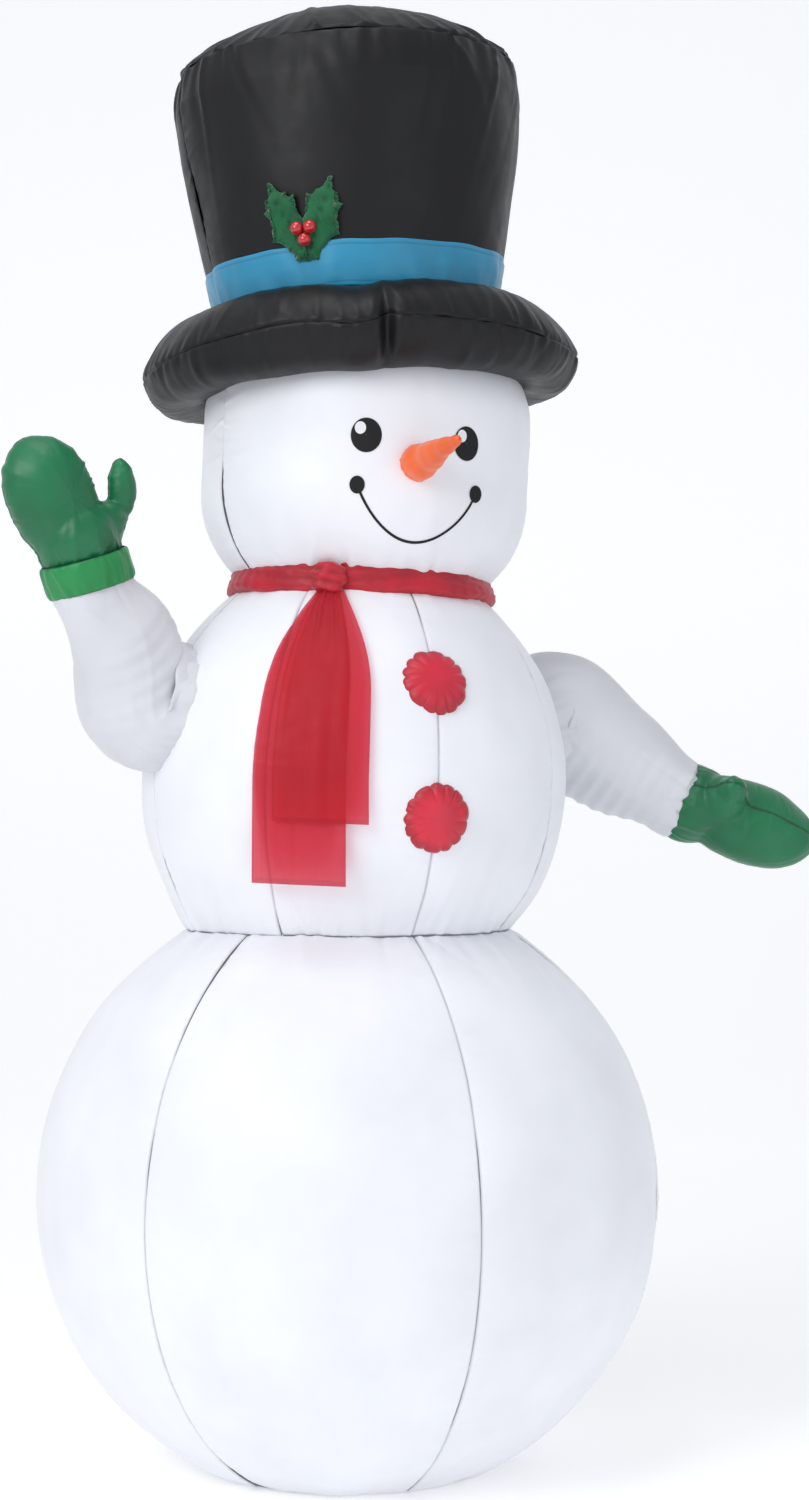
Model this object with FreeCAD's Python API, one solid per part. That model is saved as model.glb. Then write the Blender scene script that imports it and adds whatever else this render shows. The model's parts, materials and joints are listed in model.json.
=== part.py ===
import FreeCAD, Part
import math
import os
from FreeCAD import Matrix, Placement, Rotation, Vector

# Inflatable yard snowman, standing on its base.
# Millimetres. Origin at the centre of the base on the ground, -Y is the snowman's
# front, +X its left hand side and +Z up. Angles named theta are counted from the
# front towards the snowman's left.

# ---- driving dimensions -------------------------------------------------------

wall = 2.0                      # envelope panels, thicker than the real cloth
seam_gap = 0.3                  # between pieces that move apart
stitch_gap = 0.1                # where the brim is stitched on round the head

base_radius = 300.0
lower_radius = 648.0
lower_equator = 577.0           # height of the widest ring above the ground
lower_height = 1119.0           # ground to waist
lower_gores = 6
lower_seam_theta = 2.5

waist_radius = 336.5
torso_radius = 443.0
torso_equator = 336.0           # above the waist
torso_height = 717.0            # waist to neck
torso_gores = 8
torso_seam_theta = 1.5
body_lean = 2.2                 # the upper body leans this far to its left
lean_heading = 69.5             # theta of the way in which it leans

neck_radius = 240.0
head_radius = 342.5
cheek_rise = 200.0              # neck to where the head's side turns upright
temple_rise = 355.0             # neck to where it turns in under the hat
head_height = 487.0
head_top_radius = 285.0
face_theta = -3.5
face_half_angle = 76.0

hat_lean = -3.0                 # the hat leans back to the snowman's right
hat_shift = 25.0                # sideways shift of the hat's foot
brim_rise = 494.0               # neck to the middle of the brim
brim_outer_radius = 458.0
brim_inner_radius = 300.0
brim_top_rise = 84.0
brim_drop = 84.0
hat_foot_radius = 286.0
hat_foot_rise = 62.0            # above the middle of the brim
hat_wide_radius = 364.0
hat_wide_rise = 512.0
hat_shoulder_radius = 350.0
hat_shoulder_rise = 590.0
hat_height = 718.0
hat_seam_theta = -92.0
brim_seam_theta = 165.0
band_rise = 88.0
band_height = 90.0
band_thickness = 2.0
holly_theta = -38.5
holly_rise = 220.0
holly_span = 152.0
holly_thickness = 4.0
holly_stand = 2.0               # middle of the leaves to the hat
berry_radius = 13.5
berry_sink = 2.0
berry_rise = -24.0

nose_length = 255.0
nose_radius = 33.0
nose_tip_radius = 5.0
nose_sink = 8.0                 # into the curve of the face
nose_rise = 226.0               # neck to the middle of the nose's foot
nose_tilt = 4.0

button_radius = 61.0
button_bulge = 26.0
button_rises = (501.0, 235.0)   # waist to each button

scarf_height = 66.0
scarf_stand = 41.0              # outside of the scarf to the neck
knot_theta = -34.0
knot_size = (74.0, 40.0, 62.0)  # along the neck, out of it, up
tail_thickness = 2.0
tail_gap = 2.5                  # torso to the under tail, and tail to tail
tail_hang = 16.0                # knot to the top of the tails
under_tail_theta = (-46.5, -22.5)
under_tail_drop = 616.0         # neck to the hem
front_tail_theta = (-40.7, -17.0)
front_tail_drop = 494.0

arm_drop = 264.0                # neck to the middle of the shoulder opening
shoulder_radius = 140.0
arm_hole_margin = 12.0          # the torso's opening is this much narrower
shoulder_gap = 28.0             # torso to the foot of the sleeve
elbow_radius = 118.0
wrist_radius = 90.0
cuff_length = 58.0
cuff_swell = 7.0
mitten_width = 184.0
mitten_thickness = 166.0
mitten_tuck = 48.0              # how far the hand's bag would run back into the wrist
thumb_length = 150.0
thumb_radius = 36.0
thumb_start = 70.0              # wrist to the root of the thumb
thumb_stand = 26.0

blower_theta = 152.5
blower_elevation = -25.0        # seen from the middle of the lower ball
housing_radius = 76.0
housing_wall = 3.0
housing_depth = 130.0
housing_proud = 12.0
flange_width = 24.0
flange_thickness = 6.0
clamp_slack = 2.2               # cloth to the inner clamp ring at the flange's edge
clamp_thickness = 8.0
screw_radius = 2.5
screw_head_radius = 5.0
screw_inset = 8.0               # screws to the flange's edge
screw_count = 4
impeller_radius = 69.0
impeller_depth = 36.0
impeller_clearance = 3.0
blade_count = 9
blade_thickness = 2.0
blade_pitch = 38.0
hub_radius = 20.0
shaft_radius = 2.5
running_clearance = 0.06
motor_radius = 18.0
motor_length = 48.0
grille_thickness = 3.0
grille_bar = 3.0
grille_ring_count = 4
inlet_size = (18.0, 14.0, 16.0)
inlet_bore_radius = 2.75
inlet_bore_depth = 11.0

lamp_radius = 16.0
lamp_height = 44.0
bulb_radius = 22.0
lead_radius = 2.5
lamp_rises = (600.0, 1455.0, 2100.0)
hanger_width = 14.0
hanger_thickness = 1.5

zip_elevation = (-30.0, 4.0)
zip_width = 26.0
zip_tape_thickness = 1.0
zip_teeth_width = 6.0
zip_teeth_height = 2.2
zip_slider_size = (11.0, 8.0, 16.0)
zip_slider_clearance = 0.4
zip_pull_length = 34.0
zip_pull_width = 9.0

tether_thetas = (135.0, -135.0)  # left and right
tether_rise = 560.0             # waist to the tether loops
tether_bar = 2.2
tether_inside = (26.0, 22.0)
tab_width = 22.0
tab_thickness = 2.0

ground_loop_thetas = (148.0, -148.0)
ground_loop_reach = 118.0
ground_loop_width = 44.0
ground_loop_slot = (24.0, 40.0)
ground_loop_thickness = 2.4

far = 4000.0                    # larger than anything in the model

# ---- derived heights ----------------------------------------------------------

UP = Vector(0, 0, 1)
FRONT = Vector(0, -1, 0)
ORIGIN = Vector(0, 0, 0)
waist_z = lower_height
neck_z = waist_z + torso_height
brim_z = neck_z + brim_rise
scarf_radius = neck_radius + scarf_stand
arm_rise = torso_height - arm_drop
arm_hole_radius = shoulder_radius - arm_hole_margin
flange_radius = housing_radius + flange_width
screw_circle = flange_radius - screw_inset


# ---- small geometry helpers ---------------------------------------------------

def polar(theta, radius, z):
    """Point at an angle from the front, a distance from the axis and a height."""
    a = math.radians(theta)
    return Vector(radius * math.sin(a), -radius * math.cos(a), z)


def flat_point(radius, z):
    """A profile point, drawn in the plane that holds the front and the axis."""
    return Vector(0, -radius, z)


def arc(start, middle, end):
    return Part.Arc(flat_point(*start), flat_point(*middle), flat_point(*end)).toShape()


def line(start, end):
    return Part.LineSegment(flat_point(*start), flat_point(*end)).toShape()


class Curve:
    """The circle through three profile points, such as a ball's side."""

    def __init__(self, start, middle, end):
        self.start = start
        self.middle = middle
        self.end = end
        circle = arc(start, middle, end).Curve
        self.centre_radius = -circle.Center.y
        self.centre_z = circle.Center.z
        self.radius = circle.Radius

    def edge(self):
        return arc(self.start, self.middle, self.end)

    def radius_at(self, z, out=0.0):
        rise = z - self.centre_z
        return self.centre_radius + math.sqrt((self.radius + out) ** 2 - rise ** 2)

    def elevation_at(self, z):
        return math.degrees(math.asin((z - self.centre_z) / self.radius))

    def at(self, elevation, out=0.0):
        a = math.radians(elevation)
        reach = self.radius + out
        return (self.centre_radius + reach * math.cos(a), self.centre_z + reach * math.sin(a))


def upright_arc(foot, side):
    """Middle point of the arc that leaves the side point straight up or down."""
    reach = side[0] - foot[0]
    rise = side[1] - foot[1]
    radius = (reach ** 2 + rise ** 2) / (2 * reach)
    centre = side[0] - radius
    half = math.atan2(abs(rise), foot[0] - centre) / 2
    return (centre + radius * math.cos(half),
            side[1] - math.copysign(radius * math.sin(half), rise))


def panel_face(edges, thickness, inside):
    """Section of a panel: the profile and its copy one thickness nearer a point inside."""
    wire = Part.Wire(edges)
    faces = [wire.makeOffset2D(way * thickness, 0, True, True) for way in (-1, 1)]
    heart = flat_point(*inside)
    return min(faces, key=lambda face: (face.CenterOfMass - heart).Length)


def turned(face, start, span):
    """Solid that a section sweeps from one angle through a span about the axis."""
    moved = face.copy()
    moved.rotate(ORIGIN, UP, start)
    return moved.revolve(ORIGIN, UP, span)


def filled(edges):
    """The whole body of revolution inside a profile."""
    wire = Part.Wire(edges)
    first = wire.OrderedVertexes[0].Point
    last = wire.OrderedVertexes[-1].Point
    low = Vector(0, 0, first.z)
    high = Vector(0, 0, last.z)
    closing = [Part.LineSegment(low, first).toShape()]
    if last.y < -1e-6:
        closing.append(Part.LineSegment(last, high).toShape())
    closing.append(Part.LineSegment(low, high).toShape())
    face = Part.Face(Part.Wire(Part.__sortEdges__(edges + closing)))
    return face.revolve(ORIGIN, UP, 360)


def ring_wire(centre, axis, radius):
    return Part.Wire(Part.Circle(centre, axis, radius).toShape())


def loft(rings):
    return Part.makeLoft([ring_wire(*ring) for ring in rings], True, False)


def ellipsoid(centre, along, across, sizes):
    """Ellipsoid with half sizes across, through and along."""
    ball = Part.makeSphere(1.0)
    stretch = Matrix()
    stretch.scale(Vector(*sizes))
    ball = ball.transformGeometry(stretch)
    ball.Placement = Placement(centre, Rotation(across, along.cross(across), along, "ZXY"))
    return ball


def box_at(centre, size):
    return Part.makeBox(size[0], size[1], size[2],
                        Vector(centre[0] - size[0] / 2,
                               centre[1] - size[1] / 2,
                               centre[2] - size[2] / 2))


def below(z):
    return Part.makeBox(far, far, far, Vector(-far / 2, -far / 2, z - far))


def above(z):
    return Part.makeBox(far, far, far, Vector(-far / 2, -far / 2, z))


# ---- the leans ----------------------------------------------------------------

lean_side = polar(lean_heading, 1.0, 0.0)
lean_axis = UP.cross(lean_side)
waist_centre = Vector(0, 0, waist_z)


def lean(shape):
    """Take a piece of the upper body from upright to its leaning place."""
    moved = shape.copy()
    moved.rotate(waist_centre, lean_axis, body_lean)
    return moved


def lean_vector(vector):
    return Rotation(lean_axis, body_lean).multVec(vector)


def lean_point(point):
    return waist_centre + lean_vector(point - waist_centre)


def seat_hat(shape):
    """Take a piece of the hat from upright to its place on the head."""
    moved = shape.copy()
    moved.rotate(Vector(0, 0, brim_z), lean_axis, hat_lean)
    moved.translate(lean_side * hat_shift)
    return moved


# ---- profiles -----------------------------------------------------------------

lower_curve = Curve((base_radius, 0.0), (lower_radius, lower_equator),
                    (waist_radius, waist_z))
torso_curve = Curve((waist_radius, waist_z), (torso_radius, waist_z + torso_equator),
                    (neck_radius, neck_z))


def head_profile(out):
    """Edges of the head's side, a distance outside its real place."""
    foot = (neck_radius + out, neck_z)
    cheek = (head_radius + out, neck_z + cheek_rise)
    temple = (head_radius + out, neck_z + temple_rise)
    top = (head_top_radius + out, neck_z + head_height)
    return [arc(foot, upright_arc(foot, cheek), cheek),
            line(cheek, temple),
            arc(temple, upright_arc(top, temple), top)]


head_edges = head_profile(0.0)

hat_foot = (hat_foot_radius, brim_z + hat_foot_rise)
hat_wide = (hat_wide_radius, brim_z + hat_wide_rise)
hat_shoulder = (hat_shoulder_radius, brim_z + hat_shoulder_rise)
hat_crest = (0.0, brim_z + hat_height)
hat_side_curve = Curve(hat_foot,
                       ((hat_foot[0] + hat_wide[0]) / 2 + 7.0, (hat_foot[1] + hat_wide[1]) / 2),
                       hat_wide)
brim_outer = (brim_outer_radius, brim_z)
brim_middle_radius = (brim_outer_radius + brim_inner_radius) / 2

flange_sag = lower_curve.radius - math.sqrt(lower_curve.radius ** 2 - flange_radius ** 2)
clamp_depth = flange_sag + wall + clamp_slack   # flange plane to the inner clamp ring

lower_heart = (0.0, lower_equator)
torso_heart = (0.0, waist_z + torso_equator)
head_heart = (0.0, neck_z + (cheek_rise + temple_rise) / 2)

lower_body = filled([lower_curve.edge()])
torso_body = lean(filled([torso_curve.edge()]))
head_body = lean(filled(head_edges))
head_room = lean(filled(head_profile(stitch_gap)))


# ---- envelope -----------------------------------------------------------------

def base_panel():
    return Part.makeCylinder(base_radius, wall)


def lower_ball():
    """Six gores from the base to the waist, one of them open for the blower."""
    low = (lower_curve.radius_at(wall), wall)
    profile = Curve(low, lower_curve.middle, lower_curve.end)
    face = panel_face([profile.edge()], wall, lower_heart)
    span = 360.0 / lower_gores
    pieces = {}
    for number in range(lower_gores):
        gore = turned(face, lower_seam_theta + number * span, span).toNurbs()
        name = "lower_gore_%d" % (number + 1)
        if (blower_theta - lower_seam_theta) // span == number:
            gore = gore.cut(blower_opening())
        pieces[name] = gore
    return pieces


def torso_ball():
    """Eight gores from the waist to the neck, open where the arms join."""
    foot = lower_extension(torso_curve)
    face = panel_face([arc(foot, torso_curve.middle, torso_curve.end)], wall, torso_heart)
    span = 360.0 / torso_gores
    openings = [arm_opening(side) for side in (-1, 1)]
    pieces = {}
    for number in range(torso_gores):
        gore = lean(turned(face, torso_seam_theta + number * span, span))
        gore = gore.cut(below(waist_z))
        for opening in openings:
            gore = gore.cut(opening)
        pieces["torso_gore_%d" % (number + 1)] = gore
    return pieces


def lower_extension(curve):
    """A profile's foot carried on far enough to be trimmed level after leaning."""
    spare = waist_radius * math.tan(math.radians(body_lean)) + 4 * wall
    z = curve.start[1] - spare
    return (curve.radius_at(z), z)


def head():
    """One wide face panel and two back panels."""
    face = panel_face(head_edges, wall, head_heart)
    back_span = (360.0 - 2 * face_half_angle) / 2
    left_seam = face_theta + face_half_angle
    pieces = {"face_panel": turned(face, face_theta - face_half_angle, 2 * face_half_angle),
              "head_back_left": turned(face, left_seam, back_span),
              "head_back_right": turned(face, left_seam + back_span, back_span)}
    return {name: lean(piece) for name, piece in pieces.items()}


# ---- hat ----------------------------------------------------------------------

def hat():
    """Two side panels, the top panel, and the brim's two halves."""
    hat_heart = (0.0, (hat_foot[1] + hat_wide[1]) / 2)
    brim_heart = (brim_middle_radius, brim_z)
    side = panel_face([hat_side_curve.edge(),
                       arc(hat_wide, shoulder_middle(), hat_shoulder)], wall, hat_heart)
    top = panel_face([arc(hat_shoulder, top_middle(), hat_crest)], wall, hat_heart)
    over = panel_face([arc(brim_outer, (brim_middle_radius, brim_z + brim_top_rise), hat_foot)],
                      wall, brim_heart)
    under = panel_face([arc((brim_inner_radius, brim_z - brim_drop * 0.8),
                            (brim_middle_radius, brim_z - brim_drop), brim_outer)],
                       wall, brim_heart)
    pieces = {"hat_side_front": turned(side, hat_seam_theta, 180),
              "hat_side_back": turned(side, hat_seam_theta + 180, 180),
              "hat_top": turned(top, brim_seam_theta, 360).cut(below(hat_shoulder[1])),
              "brim_over": turned(over, brim_seam_theta, 360),
              "brim_under": turned(under, brim_seam_theta, 360)}
    pieces = {name: seat_hat(piece) for name, piece in pieces.items()}
    pieces["brim_under"] = pieces["brim_under"].cut(head_room).cut(pieces["brim_over"])
    return pieces


def shoulder_middle():
    middle_z = (hat_wide[1] + hat_shoulder[1]) / 2
    return ((hat_wide[0] * 3 + hat_shoulder[0]) / 4, middle_z)


def top_middle():
    """Point that makes the hat's top panel a dome that is level at its middle."""
    reach = hat_shoulder[0]
    rise = hat_crest[1] - hat_shoulder[1]
    radius = (reach ** 2 + rise ** 2) / (2 * rise)
    half = math.asin(reach / radius) / 2
    return (radius * math.sin(half), hat_crest[1] - radius + radius * math.cos(half))


def hat_band():
    """Ribbon round the foot of the hat, flared as the hat is."""
    low = brim_z + band_rise
    high = low + band_height
    inner = [(hat_side_curve.radius_at(z), z) for z in (low, (low + high) / 2, high)]
    outer = [(radius + band_thickness, z) for radius, z in inner]
    edges = [arc(*inner), line(inner[2], outer[2]), arc(*outer), line(outer[0], inner[0])]
    face = Part.Face(Part.Wire(Part.__sortEdges__(edges)))
    return {"hat_band": seat_hat(turned(face, 0, 360))}


def holly():
    """Two prickly leaves that meet at the foot, with three berries on them."""
    unit = holly_span / 2
    prickles = ((0.0, -1.0), (0.29, -0.98), (0.47, -0.70), (0.90, -0.42), (0.84, -0.05),
                (1.02, 0.32), (0.88, 0.62), (0.78, 1.0), (0.40, 0.74), (0.18, 0.68),
                (0.13, 0.26), (0.0, 0.05))
    leaves = []
    for way in (-1, 1):
        corners = [Vector(way * x * unit, 0, z * unit) for x, z in prickles + prickles[:1]]
        face = Part.Face(Part.makePolygon(corners))
        leaves.append(face.extrude(Vector(0, -holly_thickness, 0)))
    pair = leaves[0].fuse(leaves[1]).removeSplitter()
    half = berry_radius + seam_gap / 2
    centres = ((-half, half), (half, half), (0.0, half - half * math.sqrt(3)))
    cluster = []
    for x, z in centres:
        centre = Vector(x, -holly_thickness - berry_radius + berry_sink, z + berry_rise)
        cluster.append(Part.makeSphere(berry_radius, centre).cut(pair))
    middle_z = brim_z + holly_rise
    reach = hat_side_curve.radius_at(middle_z) + holly_stand
    flare = -hat_side_curve.elevation_at(middle_z)
    place = Placement(Vector(0, -reach, middle_z), Rotation(Vector(1, 0, 0), flare))
    pieces = {"holly_leaves": pair, "holly_berries": Part.makeCompound(cluster)}
    for name, piece in pieces.items():
        piece.Placement = place
        piece.rotate(ORIGIN, UP, holly_theta)
        pieces[name] = seat_hat(piece)
    return pieces


# ---- face, buttons and scarf --------------------------------------------------

def carrot_nose():
    """Carrot that points ahead and a little up from the middle of the face."""
    foot = (nose_radius, -nose_sink)
    waist = (nose_radius * 0.80, nose_length * 0.45)
    tip = (nose_tip_radius, nose_length - nose_tip_radius)
    crest = (0.0, nose_length)
    round_off = (nose_tip_radius * math.sqrt(0.5),
                 nose_length - nose_tip_radius * (1 - math.sqrt(0.5)))
    nose = filled([arc(foot, waist, tip), arc(tip, round_off, crest)])
    nose.rotate(ORIGIN, Vector(1, 0, 0), 90.0 - nose_tilt)
    nose.translate(Vector(0, -head_radius, neck_z + nose_rise))
    nose.rotate(ORIGIN, UP, face_theta)
    return {"carrot_nose": lean(nose).cut(head_body)}


def button(rise):
    """Puffed round button on the front seam, flat where it meets the torso."""
    radius = (button_radius ** 2 + button_bulge ** 2) / (2 * button_bulge)
    cap = Part.makeSphere(radius, Vector(0, radius - button_bulge, 0))
    slab = box_at((0, -button_bulge / 2, 0),
                  (4 * button_radius, button_bulge + 6.0, 4 * button_radius))
    lens = cap.common(slab)
    z = waist_z + rise
    lens.rotate(ORIGIN, Vector(1, 0, 0), -torso_curve.elevation_at(z))
    lens.translate(Vector(0, -torso_curve.radius_at(z) + 4.0, z))
    lens.rotate(ORIGIN, UP, torso_seam_theta)
    return lean(lens).cut(torso_body)


def scarf_neck_band():
    """Cloth wound round the neck, filling the crease between torso and head."""
    half = scarf_height / 2
    low = (scarf_radius - 2.0, neck_z - half)
    high = (scarf_radius - 2.0, neck_z + half)
    inner_low = (neck_radius - 6.0, neck_z - half)
    inner_high = (neck_radius - 6.0, neck_z + half)
    edges = [arc(low, (scarf_radius, neck_z), high), line(high, inner_high),
             line(inner_high, inner_low), line(inner_low, low)]
    face = Part.Face(Part.Wire(Part.__sortEdges__(edges)))
    ring = lean(turned(face, 0, 360))
    return ring.cut(torso_body).cut(head_body).cut(scarf_knot())


def scarf_knot():
    block = ellipsoid(ORIGIN, UP, Vector(1, 0, 0), [size / 2 for size in knot_size])
    block.translate(Vector(0, -scarf_radius - knot_size[1] / 4, neck_z))
    block.rotate(ORIGIN, UP, knot_theta)
    return lean(block).cut(torso_body).cut(head_body)


def scarf_tail(thetas, drop, out):
    """Strip that lies over the top of the torso and hangs straight from its middle."""
    high = neck_z - knot_size[2] / 2 - tail_hang
    low = neck_z - drop
    edge_z = torso_curve.centre_z
    sides = []
    for reach in (out, out + tail_thickness):
        start = (torso_curve.radius_at(high, reach), high)
        middle_z = (high + edge_z) / 2
        middle = (torso_curve.radius_at(middle_z, reach), middle_z)
        sides.append((start, middle, (torso_curve.radius_at(edge_z, reach), edge_z)))
    feet = [(side[2][0], low) for side in sides]
    edges = [arc(*sides[0]), line(sides[0][2], feet[0]), line(feet[0], feet[1]),
             line(feet[1], sides[1][2]), arc(*sides[1]), line(sides[1][0], sides[0][0])]
    face = Part.Face(Part.Wire(Part.__sortEdges__(edges)))
    return lean(turned(face, thetas[0], thetas[1] - thetas[0]))


def scarf():
    return {"scarf_neck_band": scarf_neck_band(),
            "scarf_knot": scarf_knot(),
            "scarf_under_tail": scarf_tail(under_tail_theta, under_tail_drop, tail_gap),
            "scarf_front_tail": scarf_tail(front_tail_theta, front_tail_drop,
                                           2 * tail_gap + tail_thickness)}


# ---- arms ---------------------------------------------------------------------

class Arm:
    """Places along one arm: shoulder, elbow, wrist and the far end of its mitten."""

    def __init__(self, side, elbow, wrist, fingertip, thumb_way):
        self.side = side
        z = waist_z + arm_rise
        tilt = math.radians(torso_curve.elevation_at(z))
        foot = Vector(side * torso_curve.radius_at(z), 0, z)
        self.outward = lean_vector(Vector(side * math.cos(tilt), 0, math.sin(tilt)))
        self.ahead = (FRONT - self.outward * self.outward.dot(FRONT)).normalize()
        self.foot = lean_point(foot)
        self.root = self.foot + self.outward * shoulder_gap
        self.elbow = self.foot + self.way(*elbow)
        self.wrist = self.foot + self.way(*wrist)
        self.fingertip = self.foot + self.way(*fingertip)
        self.forearm = (self.wrist - self.elbow).normalize()
        self.hand = (self.fingertip - self.wrist).normalize()
        self.thumb = self.way(*thumb_way).normalize()
        across = self.thumb - self.hand * self.thumb.dot(self.hand)
        self.across = across.normalize()

    def way(self, out, ahead, up):
        """A vector given out of the shoulder, towards the front and up along the torso."""
        rise = (self.outward * self.side).cross(self.ahead) * -1
        return self.outward * out + self.ahead * ahead + rise * up


right_arm = Arm(-1, (148.5, 39.2, 94.3), (241.6, 92.8, 161.5), (426.5, 123.1, 411.0),
                (-0.343, 0.101, 0.934))
left_arm = Arm(1, (130.4, 41.5, -96.9), (238.4, 97.2, -225.3), (475.2, 186.3, -385.6),
               (0.480, 0.877, -0.014))
arms = {"right": right_arm, "left": left_arm}


def arm_opening(side):
    arm = right_arm if side < 0 else left_arm
    return Part.makeCylinder(arm_hole_radius, 300.0, arm.foot - arm.outward * 150.0, arm.outward)


def sleeve_rings(arm, less):
    middle_axis = (arm.outward + arm.forearm).normalize()
    return [(arm.root, arm.outward, shoulder_radius - less),
            (arm.elbow, middle_axis, elbow_radius - less),
            (arm.wrist, arm.hand, wrist_radius - less)]


def sleeve(arm):
    return loft(sleeve_rings(arm, 0.0)).cut(loft(sleeve_rings(arm, wall)))


def shoulder_gusset(arm):
    """Gathered ring between the torso's opening and the foot of the sleeve."""
    rings = []
    for less in (0.0, wall):
        low = arm.foot - arm.outward * 40.0
        high = arm.root - arm.outward * seam_gap
        rings.append(Part.makeCone(shoulder_radius + 10.0 - less, shoulder_radius - less,
                                   (high - low).Length, low, arm.outward))
    return rings[0].cut(rings[1]).cut(torso_body)


def cuff(arm):
    """Swelled ring of cloth between the sleeve and the mitten."""
    low = arm.wrist
    middle = low + arm.hand * (cuff_length / 2)
    high = low + arm.hand * cuff_length
    outer = loft([(low, arm.hand, wrist_radius), (middle, arm.hand, wrist_radius + cuff_swell),
                  (high, arm.hand, wrist_radius - 2.0)])
    inner = loft([(low, arm.hand, wrist_radius - wall),
                  (middle, arm.hand, wrist_radius + cuff_swell - wall),
                  (high, arm.hand, wrist_radius - 2.0 - wall)])
    return outer.cut(inner)


def mitten(arm, start):
    """Hand and thumb as one inflated bag, open where it joins the arm."""
    foot = arm.wrist + arm.hand * start
    half = (arm.fingertip - foot).Length / 2 + mitten_tuck / 2
    centre = arm.fingertip - arm.hand * half
    thumb_centre = foot + arm.hand * thumb_start + arm.thumb * (thumb_length / 2 + thumb_stand)
    bags = []
    for less in (0.0, wall):
        palm = ellipsoid(centre, arm.hand, arm.across,
                         (mitten_width / 2 - less, mitten_thickness / 2 - less, half - less))
        thumb = ellipsoid(thumb_centre, arm.thumb, arm.hand.cross(arm.thumb),
                          (thumb_radius - less, thumb_radius - less, thumb_length / 2 - less))
        bags.append(palm.fuse(thumb))
    bag = bags[0].cut(bags[1])
    behind = Part.makeCylinder(far / 4, far / 4, foot - arm.hand * (far / 4), arm.hand)
    return bag.cut(behind)


def arm_pieces():
    pieces = {}
    for name, arm in arms.items():
        pieces[name + "_shoulder_gusset"] = shoulder_gusset(arm)
        pieces[name + "_sleeve"] = sleeve(arm)
    pieces["right_cuff"] = cuff(right_arm)
    pieces["right_mitten"] = mitten(right_arm, cuff_length)
    pieces["left_mitten"] = mitten(left_arm, 0.0)
    return pieces


# ---- blower -------------------------------------------------------------------
# Drawn with its axis along +Y, which points out of the lower ball, and the flange
# against the plane y = 0.

BLOWER_OUT = Vector(0, 1, 0)
housing_bore = housing_radius - housing_wall


def blower_place():
    reach, z = lower_curve.at(blower_elevation)
    turn = Rotation(UP, blower_theta - 180.0)
    tip = Rotation(Vector(1, 0, 0), blower_elevation)
    return Placement(polar(blower_theta, reach, z), turn.multiply(tip))


def tube_y(outer, inner, start, end):
    shell = Part.makeCylinder(outer, end - start, Vector(0, start, 0), BLOWER_OUT)
    if inner > 0:
        shell = shell.cut(Part.makeCylinder(inner, end - start, Vector(0, start, 0), BLOWER_OUT))
    return shell


def around(shape, count, offset=0.0):
    """Copies of a shape, evenly spaced round the blower's axis."""
    copies = []
    for number in range(count):
        copy = shape.copy()
        copy.rotate(ORIGIN, BLOWER_OUT, offset + number * 360.0 / count)
        copies.append(copy)
    return copies


def screw_holes(radius):
    hole = Part.makeCylinder(radius, 2 * housing_depth,
                             Vector(screw_circle, -housing_depth, 0), BLOWER_OUT)
    return Part.makeCompound(around(hole, screw_count, 45.0))


def blower_opening():
    opening = tube_y(housing_radius + seam_gap, 0, -housing_depth, housing_depth)
    opening = opening.fuse(around(Part.makeCylinder(
        screw_radius + seam_gap, 2 * housing_depth,
        Vector(screw_circle, -housing_depth, 0), BLOWER_OUT), screw_count, 45.0))
    opening.Placement = blower_place()
    return opening


def blower_housing():
    half = flange_thickness / 2
    shell = tube_y(housing_radius, housing_bore, -housing_depth, housing_proud)
    flange = tube_y(flange_radius, housing_radius - housing_wall / 2, -half, half)
    return shell.fuse(flange).cut(screw_holes(screw_radius)).removeSplitter()


def clamp_ring():
    ring = tube_y(flange_radius, housing_radius + seam_gap,
                  -clamp_depth - clamp_thickness, -clamp_depth)
    return ring.cut(screw_holes(screw_radius))


def flange_screws():
    low = -clamp_depth - clamp_thickness - 2.0
    high = flange_thickness / 2
    shank = Part.makeCylinder(screw_radius, high - low, Vector(screw_circle, low, 0), BLOWER_OUT)
    cap = Part.makeCylinder(screw_head_radius, 3.0, Vector(screw_circle, high, 0), BLOWER_OUT)
    cross = box_at((screw_circle, high + 2.5, 0), (6.0, 1.6, 1.2))
    screw = shank.fuse(cap).removeSplitter().cut(cross)
    return Part.makeCompound(around(screw, screw_count, 45.0))


def intake_grille():
    """Round guard of rings and bars in the mouth of the housing."""
    start = housing_proud - grille_thickness
    outer = housing_bore
    guard = tube_y(outer, outer - 5.0, start, housing_proud)
    pitch = (outer - 5.0) / (grille_ring_count + 1)
    for number in range(1, grille_ring_count + 1):
        radius = number * pitch
        guard = guard.fuse(tube_y(radius + grille_bar / 2, radius - grille_bar / 2,
                                  start, housing_proud))
    inner = pitch - grille_bar / 2
    bar = box_at(((outer - 2.0 + inner) / 2 + 0.5, start + grille_thickness / 2, 0),
                 (outer - 3.0 - inner, grille_thickness, grille_bar))
    for spoke in around(bar, 6):
        guard = guard.fuse(spoke)
    return guard.removeSplitter()


def filter_screen():
    start = housing_proud - grille_thickness
    return tube_y(housing_bore - seam_gap, 0, start - 2.0, start)


impeller_front = -6.0
impeller_back = impeller_front - impeller_depth
motor_front = impeller_back - 6.0
motor_back = motor_front - motor_length


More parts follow.
